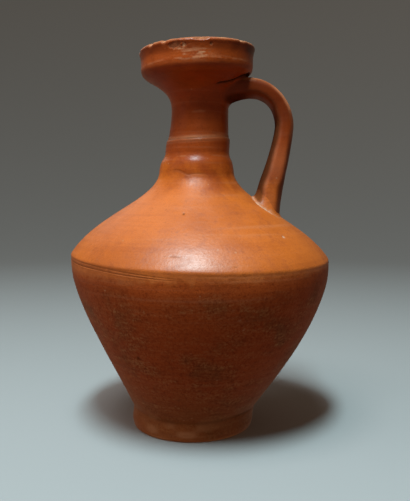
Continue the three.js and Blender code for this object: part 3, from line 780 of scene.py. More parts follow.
SCAR_FIELDS = "turn height half_turn half_height rough depth bare grime lime"
Scar = namedtuple("Scar", SCAR_FIELDS, defaults=(0, 0, 0))
SCARS = (
    # A flake off the front of the rim, its pale right and lower edges, and a nick beside it, with painted
    # shade in the flake and the nick
    Scar(turn=-20, height=235, half_turn=8.5, half_height=2, rough=0.8, depth=0.5, bare=0.25, grime=0.15),
    Scar(turn=-12.3, height=235, half_turn=1.3, half_height=1.5, rough=0.6, depth=0.1, bare=0.6),
    Scar(turn=-17, height=232.9, half_turn=5, half_height=0.5, rough=0.6, depth=0.1, bare=0.5),
    Scar(turn=13.5, height=235, half_turn=1.3, half_height=1.2, rough=0.6, depth=0.3, bare=0.3, grime=0.35),
    # An amber facet on the lip
    Scar(turn=4, height=237.9, half_turn=7.5, half_height=1.1, rough=0.2, depth=0.6, bare=0.3),
    # A light smear round the throat
    Scar(turn=-2, height=199, half_turn=15, half_height=0.9, rough=0.4, depth=-0.1, bare=0.2),
    # A pit and a crease with painted shade in them, and a pale chip on the shoulder
    Scar(turn=-9.6, height=139, half_turn=0.8, half_height=0.6, rough=0.3, depth=0.3, grime=0.6),
    Scar(turn=-11, height=118, half_turn=3.2, half_height=0.35, rough=0.7, depth=0.15, grime=0.35),
    Scar(turn=48, height=127, half_turn=0.9, half_height=0.8, rough=0.5, depth=0.2, bare=0.2, lime=0.7),
    # Pale flecks and a dark spot on the belly
    Scar(turn=13, height=90, half_turn=0.5, half_height=0.5, rough=0.4, depth=0.1, bare=0.3, lime=0.3),
    Scar(turn=16, height=84, half_turn=0.6, half_height=0.5, rough=0.4, depth=0.1, bare=0.3, lime=0.2),
    Scar(turn=18.5, height=78, half_turn=0.5, half_height=0.6, rough=0.4, depth=0.1, bare=0.3, lime=0.3),
    Scar(turn=-33, height=56, half_turn=1.4, half_height=1, rough=0.5, depth=0.15, grime=0.6),
)


def scars(skin, jug):
    """Single scars: an oval with a ragged edge and an uneven floor, with what it lays bare or holds."""
    ragged = 0.6 * skin.noise(28, 2.5) + 0.5 * skin.noise(55, 1.1)
    for scar in SCARS:
        across = (skin.turn - scar.turn) / scar.half_turn
        upwards = (skin.height - scar.height) / scar.half_height
        inside = (1 - ramp(np.hypot(across, upwards) + scar.rough * ragged, 0.6, 1.2)) * (1 - skin.inside)
        skin.push -= scar.depth * MM * inside * (1 + scar.rough * ragged)
        skin.bare += scar.bare * inside
        skin.grime += scar.grime * inside
        skin.lime += scar.lime * inside


WALL_MARKS = (wheel_marks, swells, throwing_ridges, keel_grooves, keel_wear, neck_crease, handle_crack,
              mouth_lines, foot_lumps, lip_chips, rim_wear, painted_shade_marks, pits, scars)


# Meshes

def ring_faces(count, around, capped):
    """Quads that join each ring, closed on itself, to the next. The last ring joins the first, or, where the
    ends are capped, triangles run from both end rings to two poles that are numbered after the rings."""
    index = np.arange(count * around).reshape(count, around)
    beside = np.roll(index, -1, axis=1)
    if not capped:
        above, above_beside = np.roll(index, -1, axis=0), np.roll(beside, -1, axis=0)
        quads = np.stack([index, beside, above_beside, above], axis=-1).reshape(-1, 4)
        return quads, np.empty((0, 3), int)
    quads = np.stack([index[:-1], beside[:-1], beside[1:], index[1:]], axis=-1).reshape(-1, 4)
    start_fan = np.stack([beside[0], index[0], np.full(around, index.size)], axis=-1)
    end_fan = np.stack([index[-1], beside[-1], np.full(around, index.size + 1)], axis=-1)
    return quads, np.vstack([start_fan, end_fan])


def closed_mesh(name, rings, marks, poles=None, sharp=()):
    """A closed mesh over rings of points and, where two are given, a pole at each end. Marks are named
    values at the rings' points, and a pole gets its ring's mean. The rings in sharp keep a crisp edge."""
    count, around = rings.shape[:2]
    points = rings.reshape(-1, 3)
    values = {key: value.reshape(-1) for key, value in marks.items()}
    quads, fans = ring_faces(count, around, poles is not None)
    if poles is not None:
        points = np.vstack([points, poles])
        ends = {key: [value[0].mean(), value[-1].mean()] for key, value in marks.items()}
        values = {key: np.concatenate([value, ends[key]]) for key, value in values.items()}
    if volume(points, quads) < 0:
        quads, fans = quads[:, ::-1], fans[:, ::-1]

    mesh = bpy.data.meshes.new(name)
    mesh.vertices.add(len(points))
    mesh.vertices.foreach_set("co", points.astype(np.float32).ravel())
    corners = np.concatenate([quads.ravel(), fans.ravel()])
    sizes = np.concatenate([np.full(len(quads), 4), np.full(len(fans), 3)])
    mesh.loops.add(len(corners))
    mesh.loops.foreach_set("vertex_index", corners.astype(np.int32))
    mesh.polygons.add(len(sizes))
    mesh.polygons.foreach_set("loop_start", (np.cumsum(sizes) - sizes).astype(np.int32))
    mesh.update(calc_edges=True)
    mesh.polygons.foreach_set("use_smooth", np.ones(len(sizes), bool))
    edge_points = np.empty(2 * len(mesh.edges), np.int32)
    mesh.edges.foreach_get("vertices", edge_points)
    ring_of = edge_points.reshape(-1, 2) // around
    crisp = (ring_of[:, 0] == ring_of[:, 1]) & np.isin(ring_of[:, 0], sharp)
    mesh.edges.foreach_set("use_edge_sharp", crisp)
    for key, value in values.items():
        attribute = mesh.attributes.new(key, "FLOAT", "POINT")
        attribute.data.foreach_set("value", np.clip(value, 0, 1).astype(np.float32))
    mesh.validate()
    return mesh


def volume(points, quads):
    """Six times the volume that quads hold with the origin: the sum of their triangles' triple products."""
    a, b, c, d = (points[quads[:, k]] for k in range(4))
    return np.sum(a * np.cross(b, c)) + np.sum(a * np.cross(c, d))


def place_piece(mesh, node, material):
    """Puts a mesh into the scene as the piece that stands for a node of the frame."""
    piece = bpy.data.objects.new(mesh.name, mesh)
    bpy.context.scene.collection.objects.link(piece)
    mesh.materials.append(material)
    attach(piece, BODY)
    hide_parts(node)


def angles(columns):
    """Even angles round the axis, from the back so that the seam of the grid is out of sight."""
    return np.linspace(0, 2 * math.pi, columns, endpoint=False) + math.pi / 2


def turned_ring(line, theta):
    """Rings round the axis through a line of radii and heights, with no marks on them."""
    radius, height = np.array(line, float).T[:, :, None]
    return np.stack(np.broadcast_arrays(radius * np.cos(theta), radius * np.sin(theta), height), axis=-1)


def marks_of(skin):
    """The named values of a marked patch."""
    return {"bare": skin.bare, "grime": skin.grime, "lime": skin.lime, "painted_shade": skin.painted_shade}


def joined_marks(*groups):
    """Named values of several groups of rings, one after another."""
    return {key: np.vstack([group[key] for group in groups]) for key in groups[0]}


def plain_marks(rings, bare):
    """Named values for rings with no marks, with the same share of bare clay all over."""
    shape = rings.shape[:2]
    marks = {key: np.zeros(shape) for key in ("bare", "grime", "lime", "painted_shade")}
    marks["bare"] += bare
    return marks


def thrown_member(name, jug, columns, outer, inner):
    """A thrown wall between two seams: the marked outside going up and the marked inside coming down."""
    stations = np.concatenate([outer, inner])
    skin = jug.skin(stations[:, None], angles(columns)[None, :])
    seams = [0, len(outer) - 1, len(outer), len(stations) - 1]
    return closed_mesh(name, jug.settle(skin.points), marks_of(skin), sharp=seams)


def even(spacing):
    """A spacing that is the same all along."""
    return lambda station: np.full(np.shape(station), spacing * MM)


def finer_near(station, reach, fine, coarse):
    """A spacing that narrows from coarse to fine near a station."""
    return lambda s: (coarse - (coarse - fine) * bell(s - station, reach * MM)) * MM


# Thrown members

class JUG_OT_foot_ring(bpy.types.Operator):
    """Model the foot ring: a lumpy rounded band whose top is a cone that the belly sits in"""

    bl_idname = "jug.foot_ring"
    bl_label = "Foot ring"

    def execute(self, context):
        jug = Jug(context.scene)
        gap = jug.relief.seam_gap / 2
        theta = angles(FOOT_COLUMNS)
        outer = rows_between(0, jug.wall.outside(jug.foot_top) - gap, even(0.6))
        skin = jug.skin(outer[:, None], theta[None, :])
        seat_top = (jug.form.foot_seam_radius - SEAT_INSET, jug.foot_top - SEAT_DROP)
        seat_end = (jug.seat_radius, jug.form.floor_lift - 2 * gap)
        bore_step = (jug.seat_radius + jug.form.foot_bore_radius) / 2
        inner = turned_ring([seat_top, seat_end, (bore_step, jug.form.floor_lift / 2)], theta)
        rings = np.concatenate([skin.points, inner])
        marks = joined_marks(marks_of(skin), plain_marks(inner, 0.5))
        mesh = closed_mesh("jug_foot_ring", jug.settle(rings), marks, sharp=[len(outer) - 1, len(outer) + 1])
        place_piece(mesh, "foot_ring", slip_material(context.scene))
        return {"FINISHED"}


class JUG_OT_belly_bowl(bpy.types.Operator):
    """Model the belly bowl: the floor and the flaring wall up to the keel"""

    bl_idname = "jug.belly_bowl"
    bl_label = "Belly bowl"

    def execute(self, context):
        jug = Jug(context.scene)
        theta = angles(BELLY_COLUMNS)
        near_keel = finer_near(jug.wall.outside(jug.keel), 6, 0.2, 1.1)
        outer = jug.outside_rows(jug.foot_top, jug.keel, near_keel)
        under_seam = jug.wall.inside(jug.keel_inside) + jug.relief.seam_gap / 2
        inner = rows_between(under_seam, jug.wall.end - FLOOR_EYE, even(3.5))
        skin = jug.skin(np.concatenate([outer, inner])[:, None], theta[None, :])
        radii = np.linspace(0.12, 1, UNDERSIDE_RINGS) * jug.seat_radius
        turning = UNDERSIDE_TURNING * np.cos(np.arange(UNDERSIDE_RINGS) * 2.1)
        under = turned_ring(np.stack([radii, jug.form.floor_lift + turning - turning[-1]], axis=1), theta)
        rings = np.concatenate([under, skin.points])
        marks = joined_marks(plain_marks(under, 0.6), marks_of(skin))
        poles = jug.settle([(0, 0, jug.form.floor_lift), (0, 0, jug.floor_top)])
        seams = [len(under) - 1, len(under), len(under) + len(outer) - 1, len(under) + len(outer)]
        mesh = closed_mesh("jug_belly_bowl", jug.settle(rings), marks, poles, seams)
        place_piece(mesh, "belly_bowl", slip_material(context.scene))
        return {"FINISHED"}


class JUG_OT_belly_seam_strip(bpy.types.Operator):
    """Model the coil of clay smeared over the keel seam inside, thick in its middle and thumbed all round"""

    bl_idname = "jug.belly_seam_strip"
    bl_label = "Belly seam strip"

    def execute(self, context):
        jug = Jug(context.scene)
        form = jug.form
        theta = angles(STRIP_COLUMNS)
        seam = jug.wall.inside(jug.keel_inside)
        share = np.linspace(0, 1, STRIP_ROWS)[:, None]
        station = seam + form.strip_reach * (2 * share - 1)
        back = jug.skin(station, theta[None, :], 2 * jug.relief.seam_gap)
        thumbed = 1 + 0.22 * back.noise(31, 14)
        swell = form.strip_edge + (form.strip_crown - form.strip_edge) * np.sin(math.pi * share) * thumbed
        front = jug.skin(station[::-1], theta[None, :], swell[::-1])
        rings = jug.settle(np.concatenate([back.points, front.points]))
        marks = joined_marks(marks_of(back), marks_of(front))
        edges = [0, STRIP_ROWS - 1, STRIP_ROWS, 2 * STRIP_ROWS - 1]
        mesh = closed_mesh("jug_belly_seam_strip", rings, marks, sharp=edges)
        place_piece(mesh, "belly_seam_strip", clay_material(context.scene.jug_colours))
        return {"FINISHED"}


class JUG_OT_shoulder(bpy.types.Operator):
    """Model the shoulder: the rounded keel and the cone that sweeps up into the neck"""

    bl_idname = "jug.shoulder"
    bl_label = "Shoulder"

    def execute(self, context):
        jug = Jug(context.scene)
        near_keel = finer_near(jug.wall.outside(jug.keel), 5, 0.24, 0.75)
        outer = jug.outside_rows(jug.keel, jug.neck_seam, near_keel)
        inner = jug.inside_rows(jug.neck_inside, jug.keel_inside, even(2.5))
        mesh = thrown_member("jug_shoulder", jug, SHOULDER_COLUMNS, outer, inner)
        place_piece(mesh, "shoulder", slip_material(context.scene))
        return {"FINISHED"}


class JUG_OT_neck_collar(bpy.types.Operator):
    """Model the neck collar: two tiers that narrow upwards"""

    bl_idname = "jug.neck_collar"
    bl_label = "Neck collar"

    def execute(self, context):
        jug = Jug(context.scene)
        outer = jug.outside_rows(jug.neck_seam, jug.mouth_seam, even(0.3))
        inner = jug.inside_rows(jug.mouth_inside, jug.neck_inside, even(1))
        mesh = thrown_member("jug_neck_collar", jug, COLLAR_COLUMNS, outer, inner)
        place_piece(mesh, "neck_collar", slip_material(context.scene))
        return {"FINISHED"}


class JUG_OT_mouth_funnel(bpy.types.Operator):
    """Model the mouth funnel: the throat and the bowl of the cup mouth"""

    bl_idname = "jug.mouth_funnel"
    bl_label = "Mouth funnel"

    def execute(self, context):
        jug = Jug(context.scene)
        outer = jug.outside_rows(jug.mouth_seam, jug.ridge, even(0.45))
        inner = jug.inside_rows(jug.ridge_inside, jug.mouth_inside, even(0.8))
        mesh = thrown_member("jug_mouth_funnel", jug, FUNNEL_COLUMNS, outer, inner)
        place_piece(mesh, "mouth_funnel", slip_material(context.scene))
        return {"FINISHED"}


class JUG_OT_rim_band(bpy.types.Operator):
    """Model the rim band: an upright band with a slight hollow and a chipped lip"""

    bl_idname = "jug.rim_band"
    bl_label = "Rim band"

    def execute(self, context):
        jug = Jug(context.scene)
        gap = jug.relief.seam_gap / 2
        stations = rows_between(jug.wall.outside(jug.ridge) + gap,
                                jug.wall.inside(jug.ridge_inside) - gap,
                                finer_near(jug.wall.crown, 9, 0.22, 0.5))
        skin = jug.skin(stations[:, None], angles(RIM_COLUMNS)[None, :])
        seams = [0, len(stations) - 1]
        mesh = closed_mesh("jug_rim_band", jug.settle(skin.points), marks_of(skin), sharp=seams)
        place_piece(mesh, "rim_band", slip_material(context.scene))
        return {"FINISHED"}


# Strap handle

class Strap:
    """The strap handle: a squarish oval carried along two smooth curves, from inside the throat's wall to
    inside the shoulder. A point of its section is given by its share of the half thickness, plus outwards,
    and by its share of the half width."""

    def __init__(self, jug):
        self.jug = jug
        h = self.size = jug.handle
        root = jug.ridge - h.root_drop
        elbow = root - h.elbow_drop
        radius, height = self.over_keel().T
        shoulder = np.interp(-h.foot_radius, -radius, height)
        end = shoulder - h.burial
        start = np.array([jug.throat_bore, root])
        rising = np.array([math.cos(h.rise), math.sin(h.rise)])
        arch = bezier(start, start + h.arch * rising, (h.reach, elbow + h.elbow_round), (h.reach, elbow))
        leg = bezier((h.reach, elbow), (h.reach, elbow - h.leg_bend), (h.foot_radius, end + h.foot_rise),
                     (h.foot_radius, end))
        self.line = np.vstack([start - h.root_burial * rising, arch, leg[1:]])
        self.along = running_length(self.line)
        self.length = self.along[-1]
        steps = np.gradient(self.line, axis=0)
        self.heading = steps / np.linalg.norm(steps, axis=1, keepdims=True)
        phi = np.linspace(0, 2 * math.pi, STRAP_COLUMNS, endpoint=False)
        self.face = self.rounded(np.cos(phi))
        self.side = self.rounded(np.sin(phi))

    def over_keel(self):
        """The points of the outside from the keel to the neck seam, where the radius only shrinks."""
        outside = self.jug.wall.points[:self.jug.wall.top]
        keel_top = self.jug.keel + 2 * self.jug.form.keel_lift
        return outside[(outside[:, 1] > keel_top) & (outside[:, 1] < self.jug.neck_seam)]

    def rounded(self, value):
        """A cosine or sine bent so that a circle becomes a squarish oval."""
        return np.sign(value) * np.abs(value) ** (2 / self.size.squareness)

    def half_sizes(self, distance):
        """Half the thickness and half the width: both grow towards the root and towards the foot."""
        h = self.size
        near_root = np.clip(1 - distance / h.root_flare, 0, 1) ** 2
        near_foot = np.clip(1 - (self.length - distance) / h.foot_flare, 0, 1) ** h.flare_power
        thickness = (h.thickness + (h.root_thickness - h.thickness) * near_root
                     + (h.foot_thickness - h.thickness) * near_foot)
        width = h.width + (h.root_width - h.width) * near_root + (h.foot_width - h.width) * near_foot
        return thickness / 2, width / 2

    def points(self, distance, face, side, push=0.0):
        """Points on the strap: the line's point, lifted along its normal by face times half the thickness,
        set off sideways by side times half the width, and turned round Z. The sideways part is turned a
        little on, so that the strap is twisted. Push adds to both half sizes."""
        distance, face, side = np.broadcast_arrays(distance, face, side)
        x, z = (np.interp(distance, self.along, self.line[:, k]) for k in range(2))
        run, rise = (np.interp(distance, self.along, self.heading[:, k]) for k in range(2))
        half_thickness, half_width = self.half_sizes(distance)
        lift = face * (half_thickness + push)
        across = side * (half_width + push)
        x, z = x - rise * lift, z + run * lift
        turn, side_turn = self.size.turn, self.size.turn + self.size.twist
        return np.stack([x * math.cos(turn) - across * math.sin(side_turn),
                         x * math.sin(turn) + across * math.cos(side_turn), z], axis=-1)

    def swell(self, distance, face, side):
        """Finger swells: noise of 16 and 6 mm over the strap, and a shallow trough along its outer face."""
        place = self.points(distance, face, side) / MM
        swells = 0.7 * noise(place / 16, 41) + 0.3 * noise(place / 6, 42)
        trough = bell(side, 0.45) * ramp(face, 0.3, 0.9)
        past_root = ramp(distance, 35 * MM, 55 * MM)
        before_foot = 1 - ramp(distance, self.length - 45 * MM, self.length - 25 * MM)
        return self.jug.relief.strap_swell * (swells - 1.6 * trough * (past_root * before_foot))

    def crossing(self, face, side, at_root):
        """How far along the line each generator meets the jug's outside, by steps between close stations."""
        span = (0, CROSSING_REACH) if at_root else (self.length, self.length - CROSSING_REACH)
        stations = np.linspace(*span, CROSSING_STEPS).reshape(-1, *[1] * np.ndim(face))
        place = self.points(stations, face, side)
        clear = np.hypot(place[..., 0], place[..., 1]) - self.jug.wall.outer_radius(place[..., 2])
        last_in = CROSSING_STEPS - 1 - np.argmax(clear[::-1] < 0, axis=0)
        near = np.take_along_axis(clear, last_in[None], axis=0)[0]
        far = np.take_along_axis(clear, last_in[None] + 1, axis=0)[0]
        share = (last_in - near / (far - near)) / (CROSSING_STEPS - 1)
        return span[0] + share * (span[1] - span[0])


def strap_marks(strap, distance, face, side):
    """Grime and painted shade up the inside, lightened under the arch as painted bounce light, a pale line
    along the leg's edge that is wear and partly a painted highlight, pale slip on the outer edges that is
    wear and a painted highlight, pale slip on the leg's lit middle as painted light, and painted shade as
    dark red slip on the arch under the rim, near the foot and down the leg's shaded outside."""
    distance, face, side = np.broadcast_arrays(distance, face, side)
    place = strap.points(distance, face, side) / MM
    from_foot = (strap.length - distance) / MM
    wave = noise(place / 7, 43)
    leg = 1 - ramp(from_foot, 45, 85)
    # The arch's share of painted shade, where the rim shades the strap
    arch = (0.75 + 0.25 * ramp(distance / MM, 20, 32)) * (1 - ramp(distance / MM, 56, 92))
    inside = inner_dirt_and_shade(face, wave)
    front = strap_front(face, wave)
    # A pale line along the leg's inner edge: wear, and partly a painted highlight
    edge = bell(face + 0.15 * wave + 0.5, 0.15) * ramp(-side, -0.2, 0.6) * np.clip(0.5 + wave, 0, 1)
    # Pale bare slip on the outer edges: wear, and a painted highlight along the top edge
    outer_edge_wear_and_highlight = bell(np.abs(side) - 0.85, 0.2) * ramp(face, 0.35, 0.8)
    rubbed = outer_edge_wear_and_highlight * np.clip(0.7 + wave, 0, 1) * (1 - leg)
    # Painted shade down the leg's outer side, which is turned from the light
    outside = leg * ramp(face + 0.2 * wave, 0.4, 0.75)
    # Painted shade near the foot
    near_foot = 1 - ramp(from_foot, 32, 46)
    # Pale slip on the lit middle of the leg's front, as painted light
    middle = front * ramp(from_foot, 28, 40) * (1 - ramp(from_foot, 44, 60))
    # Less grime and paler slip under the arch, as painted bounce light
    under = inside * ramp(distance / MM, 20, 36) * (1 - ramp(distance / MM, 48, 66))
    return {
        "bare": 0.5 * rubbed + 0.08 * leg * edge + 0.13 * middle + 0.12 * under,
        "grime": 0.8 * inside - 0.4 * under + 0.3 * outside,
        "lime": 0.05 * leg * edge,
        "painted_shade": 0.8 * arch * front + 0.28 * near_foot + 0.45 * outside,
    }


def inner_dirt_and_shade(face, wave):
    """The share of the strap's inner side that gets dirt and painted shade, with a wavy border."""
    return 1 - ramp(face + 0.15 * wave, -0.8, -0.4)


def strap_front(face, wave):
    """The share of the strap's narrow sides, with wavy borders."""
    return ramp(face + 0.15 * wave, -0.9, -0.5) * (1 - ramp(face + 0.2 * wave, 0.5, 0.9))


class JUG_OT_strap_handle(bpy.types.Operator):
    """Model the strap handle between the throat and the shoulder, with ends that follow the wall"""

    bl_idname = "jug.strap_handle"
    bl_label = "Strap handle"

    def execute(self, context):
        jug = Jug(context.scene)
        strap = Strap(jug)
        face, side = strap.face, strap.side
        gap = jug.relief.seam_gap
        start = strap.crossing(face, side, True) + gap
        end = strap.crossing(face, side, False) - gap
        share = np.linspace(0, 1, STRAP_ROWS)[:, None]
        distance = start + (end - start) * share
        body = strap.points(distance, face, side, strap.swell(distance, face, side))
        shrink = np.linspace(1, 0, CAP_RINGS + 1)[1:-1, None]
        cap_face = shrink * face
        cap_side = shrink * side
        root_cap = strap.points(strap.crossing(cap_face, cap_side, True) + gap, cap_face, cap_side)
        foot_cap = strap.points(strap.crossing(cap_face, cap_side, False) - gap, cap_face, cap_side)
        middle = np.zeros(1)
        poles = np.vstack([strap.points(strap.crossing(middle, middle, True) + gap, middle, middle),
                           strap.points(strap.crossing(middle, middle, False) - gap, middle, middle)])
        rings = np.concatenate([root_cap[::-1], body, foot_cap])
        marks = joined_marks(plain_marks(root_cap, 0), strap_marks(strap, distance, face, side),
                             plain_marks(foot_cap, 0))
        seams = [len(root_cap), len(root_cap) + STRAP_ROWS - 1]
        mesh = closed_mesh("jug_strap_handle", jug.settle(rings), marks, jug.settle(poles), seams)
        place_piece(mesh, "strap_handle", slip_material(context.scene))
        return {"FINISHED"}


def luting_ring(strap, at_root, strap_reach, wall_reach):
    """A ring of clay in the corner between the strap and the wall. For each generator of the strap, a curve
    runs from a point up the strap to a point out on the wall, bent towards where the generator meets it."""
    jug = strap.jug
    face, side = strap.face, strap.side
    contact = strap.crossing(face, side, at_root)
    outwards = 1 if at_root else -1
    on_strap = contact + outwards * strap_reach
    corner = strap.points(contact, face, side)
    theta = np.arctan2(corner[:, 1], corner[:, 0])
    station = jug.wall.outside(corner[:, 2])
    radius = np.hypot(corner[:, 0], corner[:, 1])
    round_step = radius * (np.roll(theta, -1) - np.roll(theta, 1))
    wall_step = np.roll(station, -1) - np.roll(station, 1)
    steps = np.stack([round_step, wall_step])
    steps = sum(np.roll(steps, k, axis=1) for k in range(-3, 4))
    away = np.stack([steps[1], -steps[0]]) / np.hypot(*steps)
    middle = np.stack([radius * (theta - theta.mean()), station - station.mean()])
    away *= np.sign(np.sum(away * middle))
    skin = jug.skin(station + away[1] * wall_reach, theta + away[0] * wall_reach / radius, -LUTING_SINK)
    high = strap.points(on_strap, face, side, strap.swell(on_strap, face, side) - LUTING_SINK)
    share = np.linspace(0, 1, LUTING_ROWS)[:, None, None]
    curve = (1 - share) ** 2 * high + 2 * share * (1 - share) * corner + share**2 * skin.points
    return np.concatenate([curve, corner[None]])


class JUG_OT_handle_luting(bpy.types.Operator):
    """Model the clay pressed round both ends of the handle: the root wad and the foot pad"""

    bl_idname = "jug.handle_luting"
    bl_label = "Handle luting"

    def execute(self, context):
        strap = Strap(Jug(context.scene))
        material = slip_material(context.scene)
        under = 1 - ramp(strap.face, -0.2, 0.75)
        across = np.linspace(0, 1, LUTING_ROWS + 1)[:, None]
        place_piece(self.root_wad(strap, under, across), "handle_root_wad", material)
        place_piece(self.foot_pad(strap, under, across), "handle_foot_pad", material)
        return {"FINISHED"}

    def root_wad(self, strap, under, across):
        """The wad round the root, which reaches furthest under the strap: dirt and painted shade on the
        strap's inner side, painted shade on its narrow sides as on the arch, and painted shade in the crack
        on top."""
        h = strap.size
        top = h.root_top_reach
        up_strap = top + (h.root_strap_reach - top) * under
        along_neck = top + (h.root_wall_reach - top) * under
        root = luting_ring(strap, True, up_strap, along_neck)
        marks = plain_marks(root, 0)
        cracked = crack_line(*strap.jug.unsettled_turn(root))
        wave = noise(root / MM / 7, 43)
        # Dirt and painted shade on the strap's inner side
        dirt_and_shade = 0.8 * inner_dirt_and_shade(strap.face, wave) * (1 - ramp(across, 0.3, 0.8))
        marks["grime"] += np.maximum(cracked, dirt_and_shade)
        # Painted shade on the narrow sides, carried on from the arch
        marks["painted_shade"] += strap_front(strap.face, wave) * (0.6 - 0.5 * ramp(across, 0.2, 1))
        return closed_mesh("jug_handle_root_wad", strap.jug.settle(root), marks, sharp=LUTING_SEAMS)

    def foot_pad(self, strap, under, across):
        """The pad round the foot: bare where it meets the shoulder, with a chalky crust at the front, and
        dirt with painted shade on the strap's inner side."""
        h = strap.size
        up_strap = h.foot_outer_reach + (h.foot_strap_reach - h.foot_outer_reach) * under
        foot = luting_ring(strap, False, up_strap, h.foot_wall_reach)
        marks = plain_marks(foot, 0)
        blob = bell(strap.face - 0.2, 0.35) * ramp(-strap.side, 0.3, 0.8)
        crust = ramp(across + 0.3 * blob, 0.56, 0.84) * (0.6 + 0.5 * noise(foot / MM / 5, 44))
        crust = crust * ramp(-strap.side, -0.4, 0.6) * (1 - 0.8 * ramp(strap.face, 0.4, 0.9))
        marks["lime"] += np.clip(0.7 * crust, 0, 1)
        marks["bare"] += 0.28 * ramp(across, 0.35, 0.75)
        # Dirt and painted shade on the strap's inner side
        dirt_and_shade = 0.75 * inner_dirt_and_shade(strap.face, noise(foot / MM / 7, 43))
        marks["grime"] += dirt_and_shade * (1 - ramp(across, 0.45, 0.75))
        return closed_mesh("jug_handle_foot_pad", strap.jug.settle(foot), marks, sharp=LUTING_SEAMS)


# Materials

class ShaderGraph:
    """A material whose shader nodes are added one by one and linked as they are added."""

    def __init__(self, name):
        self.material = bpy.data.materials.new(name)
        self.material.use_nodes = True
        self.tree = self.material.node_tree
        self.tree.nodes.clear()

    def add(self, kind, inputs=(), **settings):
        """Adds a node with its settings, and gives each input its value or a link to another node."""
        node = self.tree.nodes.new(kind)
        for key, value in settings.items():
            setattr(node, key, value)
        for key, value in dict(inputs).items():
            if isinstance(value, bpy.types.NodeSocket):
                self.tree.links.new(value, node.inputs[key])
            else:
                node.inputs[key].default_value = value
        return node

    def noise(self, place, scale, detail, roughness=0.5):
        """The value of a noise texture."""
        inputs = {"Vector": place, "Scale": scale, "Detail": detail, "Roughness": roughness}
        return self.add("ShaderNodeTexNoise", inputs).outputs["Fac"]

    def span(self, value, low, high, to_low=0.0, to_high=1.0):
        """A value carried from one span to another along an S-curve."""
        inputs = {"Value": value, "From Min": low, "From Max": high, "To Min": to_low, "To Max": to_high}
        return self.add("ShaderNodeMapRange", inputs, interpolation_type="SMOOTHSTEP").outputs["Result"]

    def math(self, operation, first, second):
        """Two values put together."""
        node = self.add("ShaderNodeMath", {0: first, 1: second}, operation=operation)
        return node.outputs["Value"]

    def mix(self, share, first, second, blend="MIX"):
        """Two colours mixed by a share."""
        node = self.add("ShaderNodeMix", data_type="RGBA", blend_type=blend)
        for key, value in (("Factor_Float", share), ("A_Color", first), ("B_Color", second)):
            socket = next(s for s in node.inputs if s.identifier == key)
            if isinstance(value, bpy.types.NodeSocket):
                self.tree.links.new(value, socket)
            else:
                socket.default_value = value
        return next(s for s in node.outputs if s.identifier == "Result_Color")

    def mark(self, name):
        """A named value of the mesh's points."""
        return self.add("ShaderNodeAttribute", attribute_name=name).outputs["Fac"]


def opaque(linear):
    """A colour with full opacity."""
    return (*linear, 1.0)


# Heights in metres between which the slip changes, and how far two of its borders slope sideways
RED_FROM, RED_FULL = 0.15, 0.178
SATIN_FROM, SATIN_FULL = 0.148, 0.17
SHINE_FULL, SHINE_FAINT = 0.14, 0.16
FOOT_STAIN_FROM, FOOT_STAIN_FULL = 0.045, 0.008
RED_SLOPE = 0.22
ORANGE_SLOPE = 0.04

# Tints that darken the slip, and the paler colour of its thin streaks
CLOUD_TINT = (0.25, 0.05, 0.02)
SPOT_TINT = (0.35, 0.18, 0.12)
STREAK_TINT = (0.5, 0.3, 0.22)
STREAK_LIGHT = (0.8, 0.45, 0.28)
POWDER_TINT = (0.5, 0.4, 0.35)
GRAIN_TINT = (0.4, 0.25, 0.2)

SlipNoises = namedtuple("SlipNoises", "clouds spots streaks grain peel powder dashes")
SlipBorders = namedtuple("SlipBorders", "height over_keel over_neck below_keel weathered on_foot")


def slip_noises(g, place):
    """The noises that the slip's colour and its surface share, from broad clouds to fine grain."""
    long_level = g.add("ShaderNodeMapping", {"Vector": place, "Scale": (9, 9, 330)}).outputs["Vector"]
    short_level = g.add("ShaderNodeMapping", {"Vector": place, "Scale": (75, 75, 420)}).outputs["Vector"]
    return SlipNoises(
        clouds=g.noise(place, 32, 6, 0.6),
        spots=g.noise(place, 150, 5, 0.65),
        streaks=g.noise(long_level, 1, 5, 0.6),
        grain=g.noise(place, 1500, 4, 0.6),
        peel=g.noise(place, 560, 2, 0.5),
        powder=g.noise(place, 620, 6, 0.75),
        dashes=g.noise(short_level, 1, 4, 0.65),
    )


def slip_borders(g, scene, place, noises):
    """Where the slip changes: the height, and the shares over the keel, over the neck, below the keel, on
    the weathered belly and on the foot."""
    settling = scene.jug_settling
    keel = scene.jug_form.foot_height + scene.jug_form.belly_height
    parts = g.add("ShaderNodeSeparateXYZ", {0: place}).outputs
    along_keel = (-settling.belly_tilt - ORANGE_SLOPE, -settling.belly_nod, 1)
    over_slope = g.add("ShaderNodeVectorMath", {0: place, 1: along_keel}, operation="DOT_PRODUCT")
    level = over_slope.outputs["Value"]
    wavy_height = g.math("ADD", parts["Z"], g.span(noises.clouds, 0.3, 0.7, -0.012, 0.012))
    wavy_level = g.math("ADD", level, g.span(noises.spots, 0.3, 0.7, -0.002, 0.002))
    sloping = g.math("ADD", wavy_height, g.math("MULTIPLY", parts["X"], RED_SLOPE))
    over_keel = g.span(wavy_level, keel - 5.3 * MM, keel + 1.3 * MM)
    below_keel = g.math("SUBTRACT", 1.0, over_keel)
    well_below = g.span(level, keel - 4 * MM, keel - 20 * MM, 0.1, 1.0)
    return SlipBorders(
        height=parts["Z"],
        over_keel=over_keel,
        over_neck=g.span(sloping, RED_FROM, RED_FULL),
        below_keel=below_keel,
        weathered=g.math("MULTIPLY", below_keel, well_below),
        on_foot=g.span(wavy_height, FOOT_STAIN_FROM, FOOT_STAIN_FULL, 0.0, 0.4),
    )


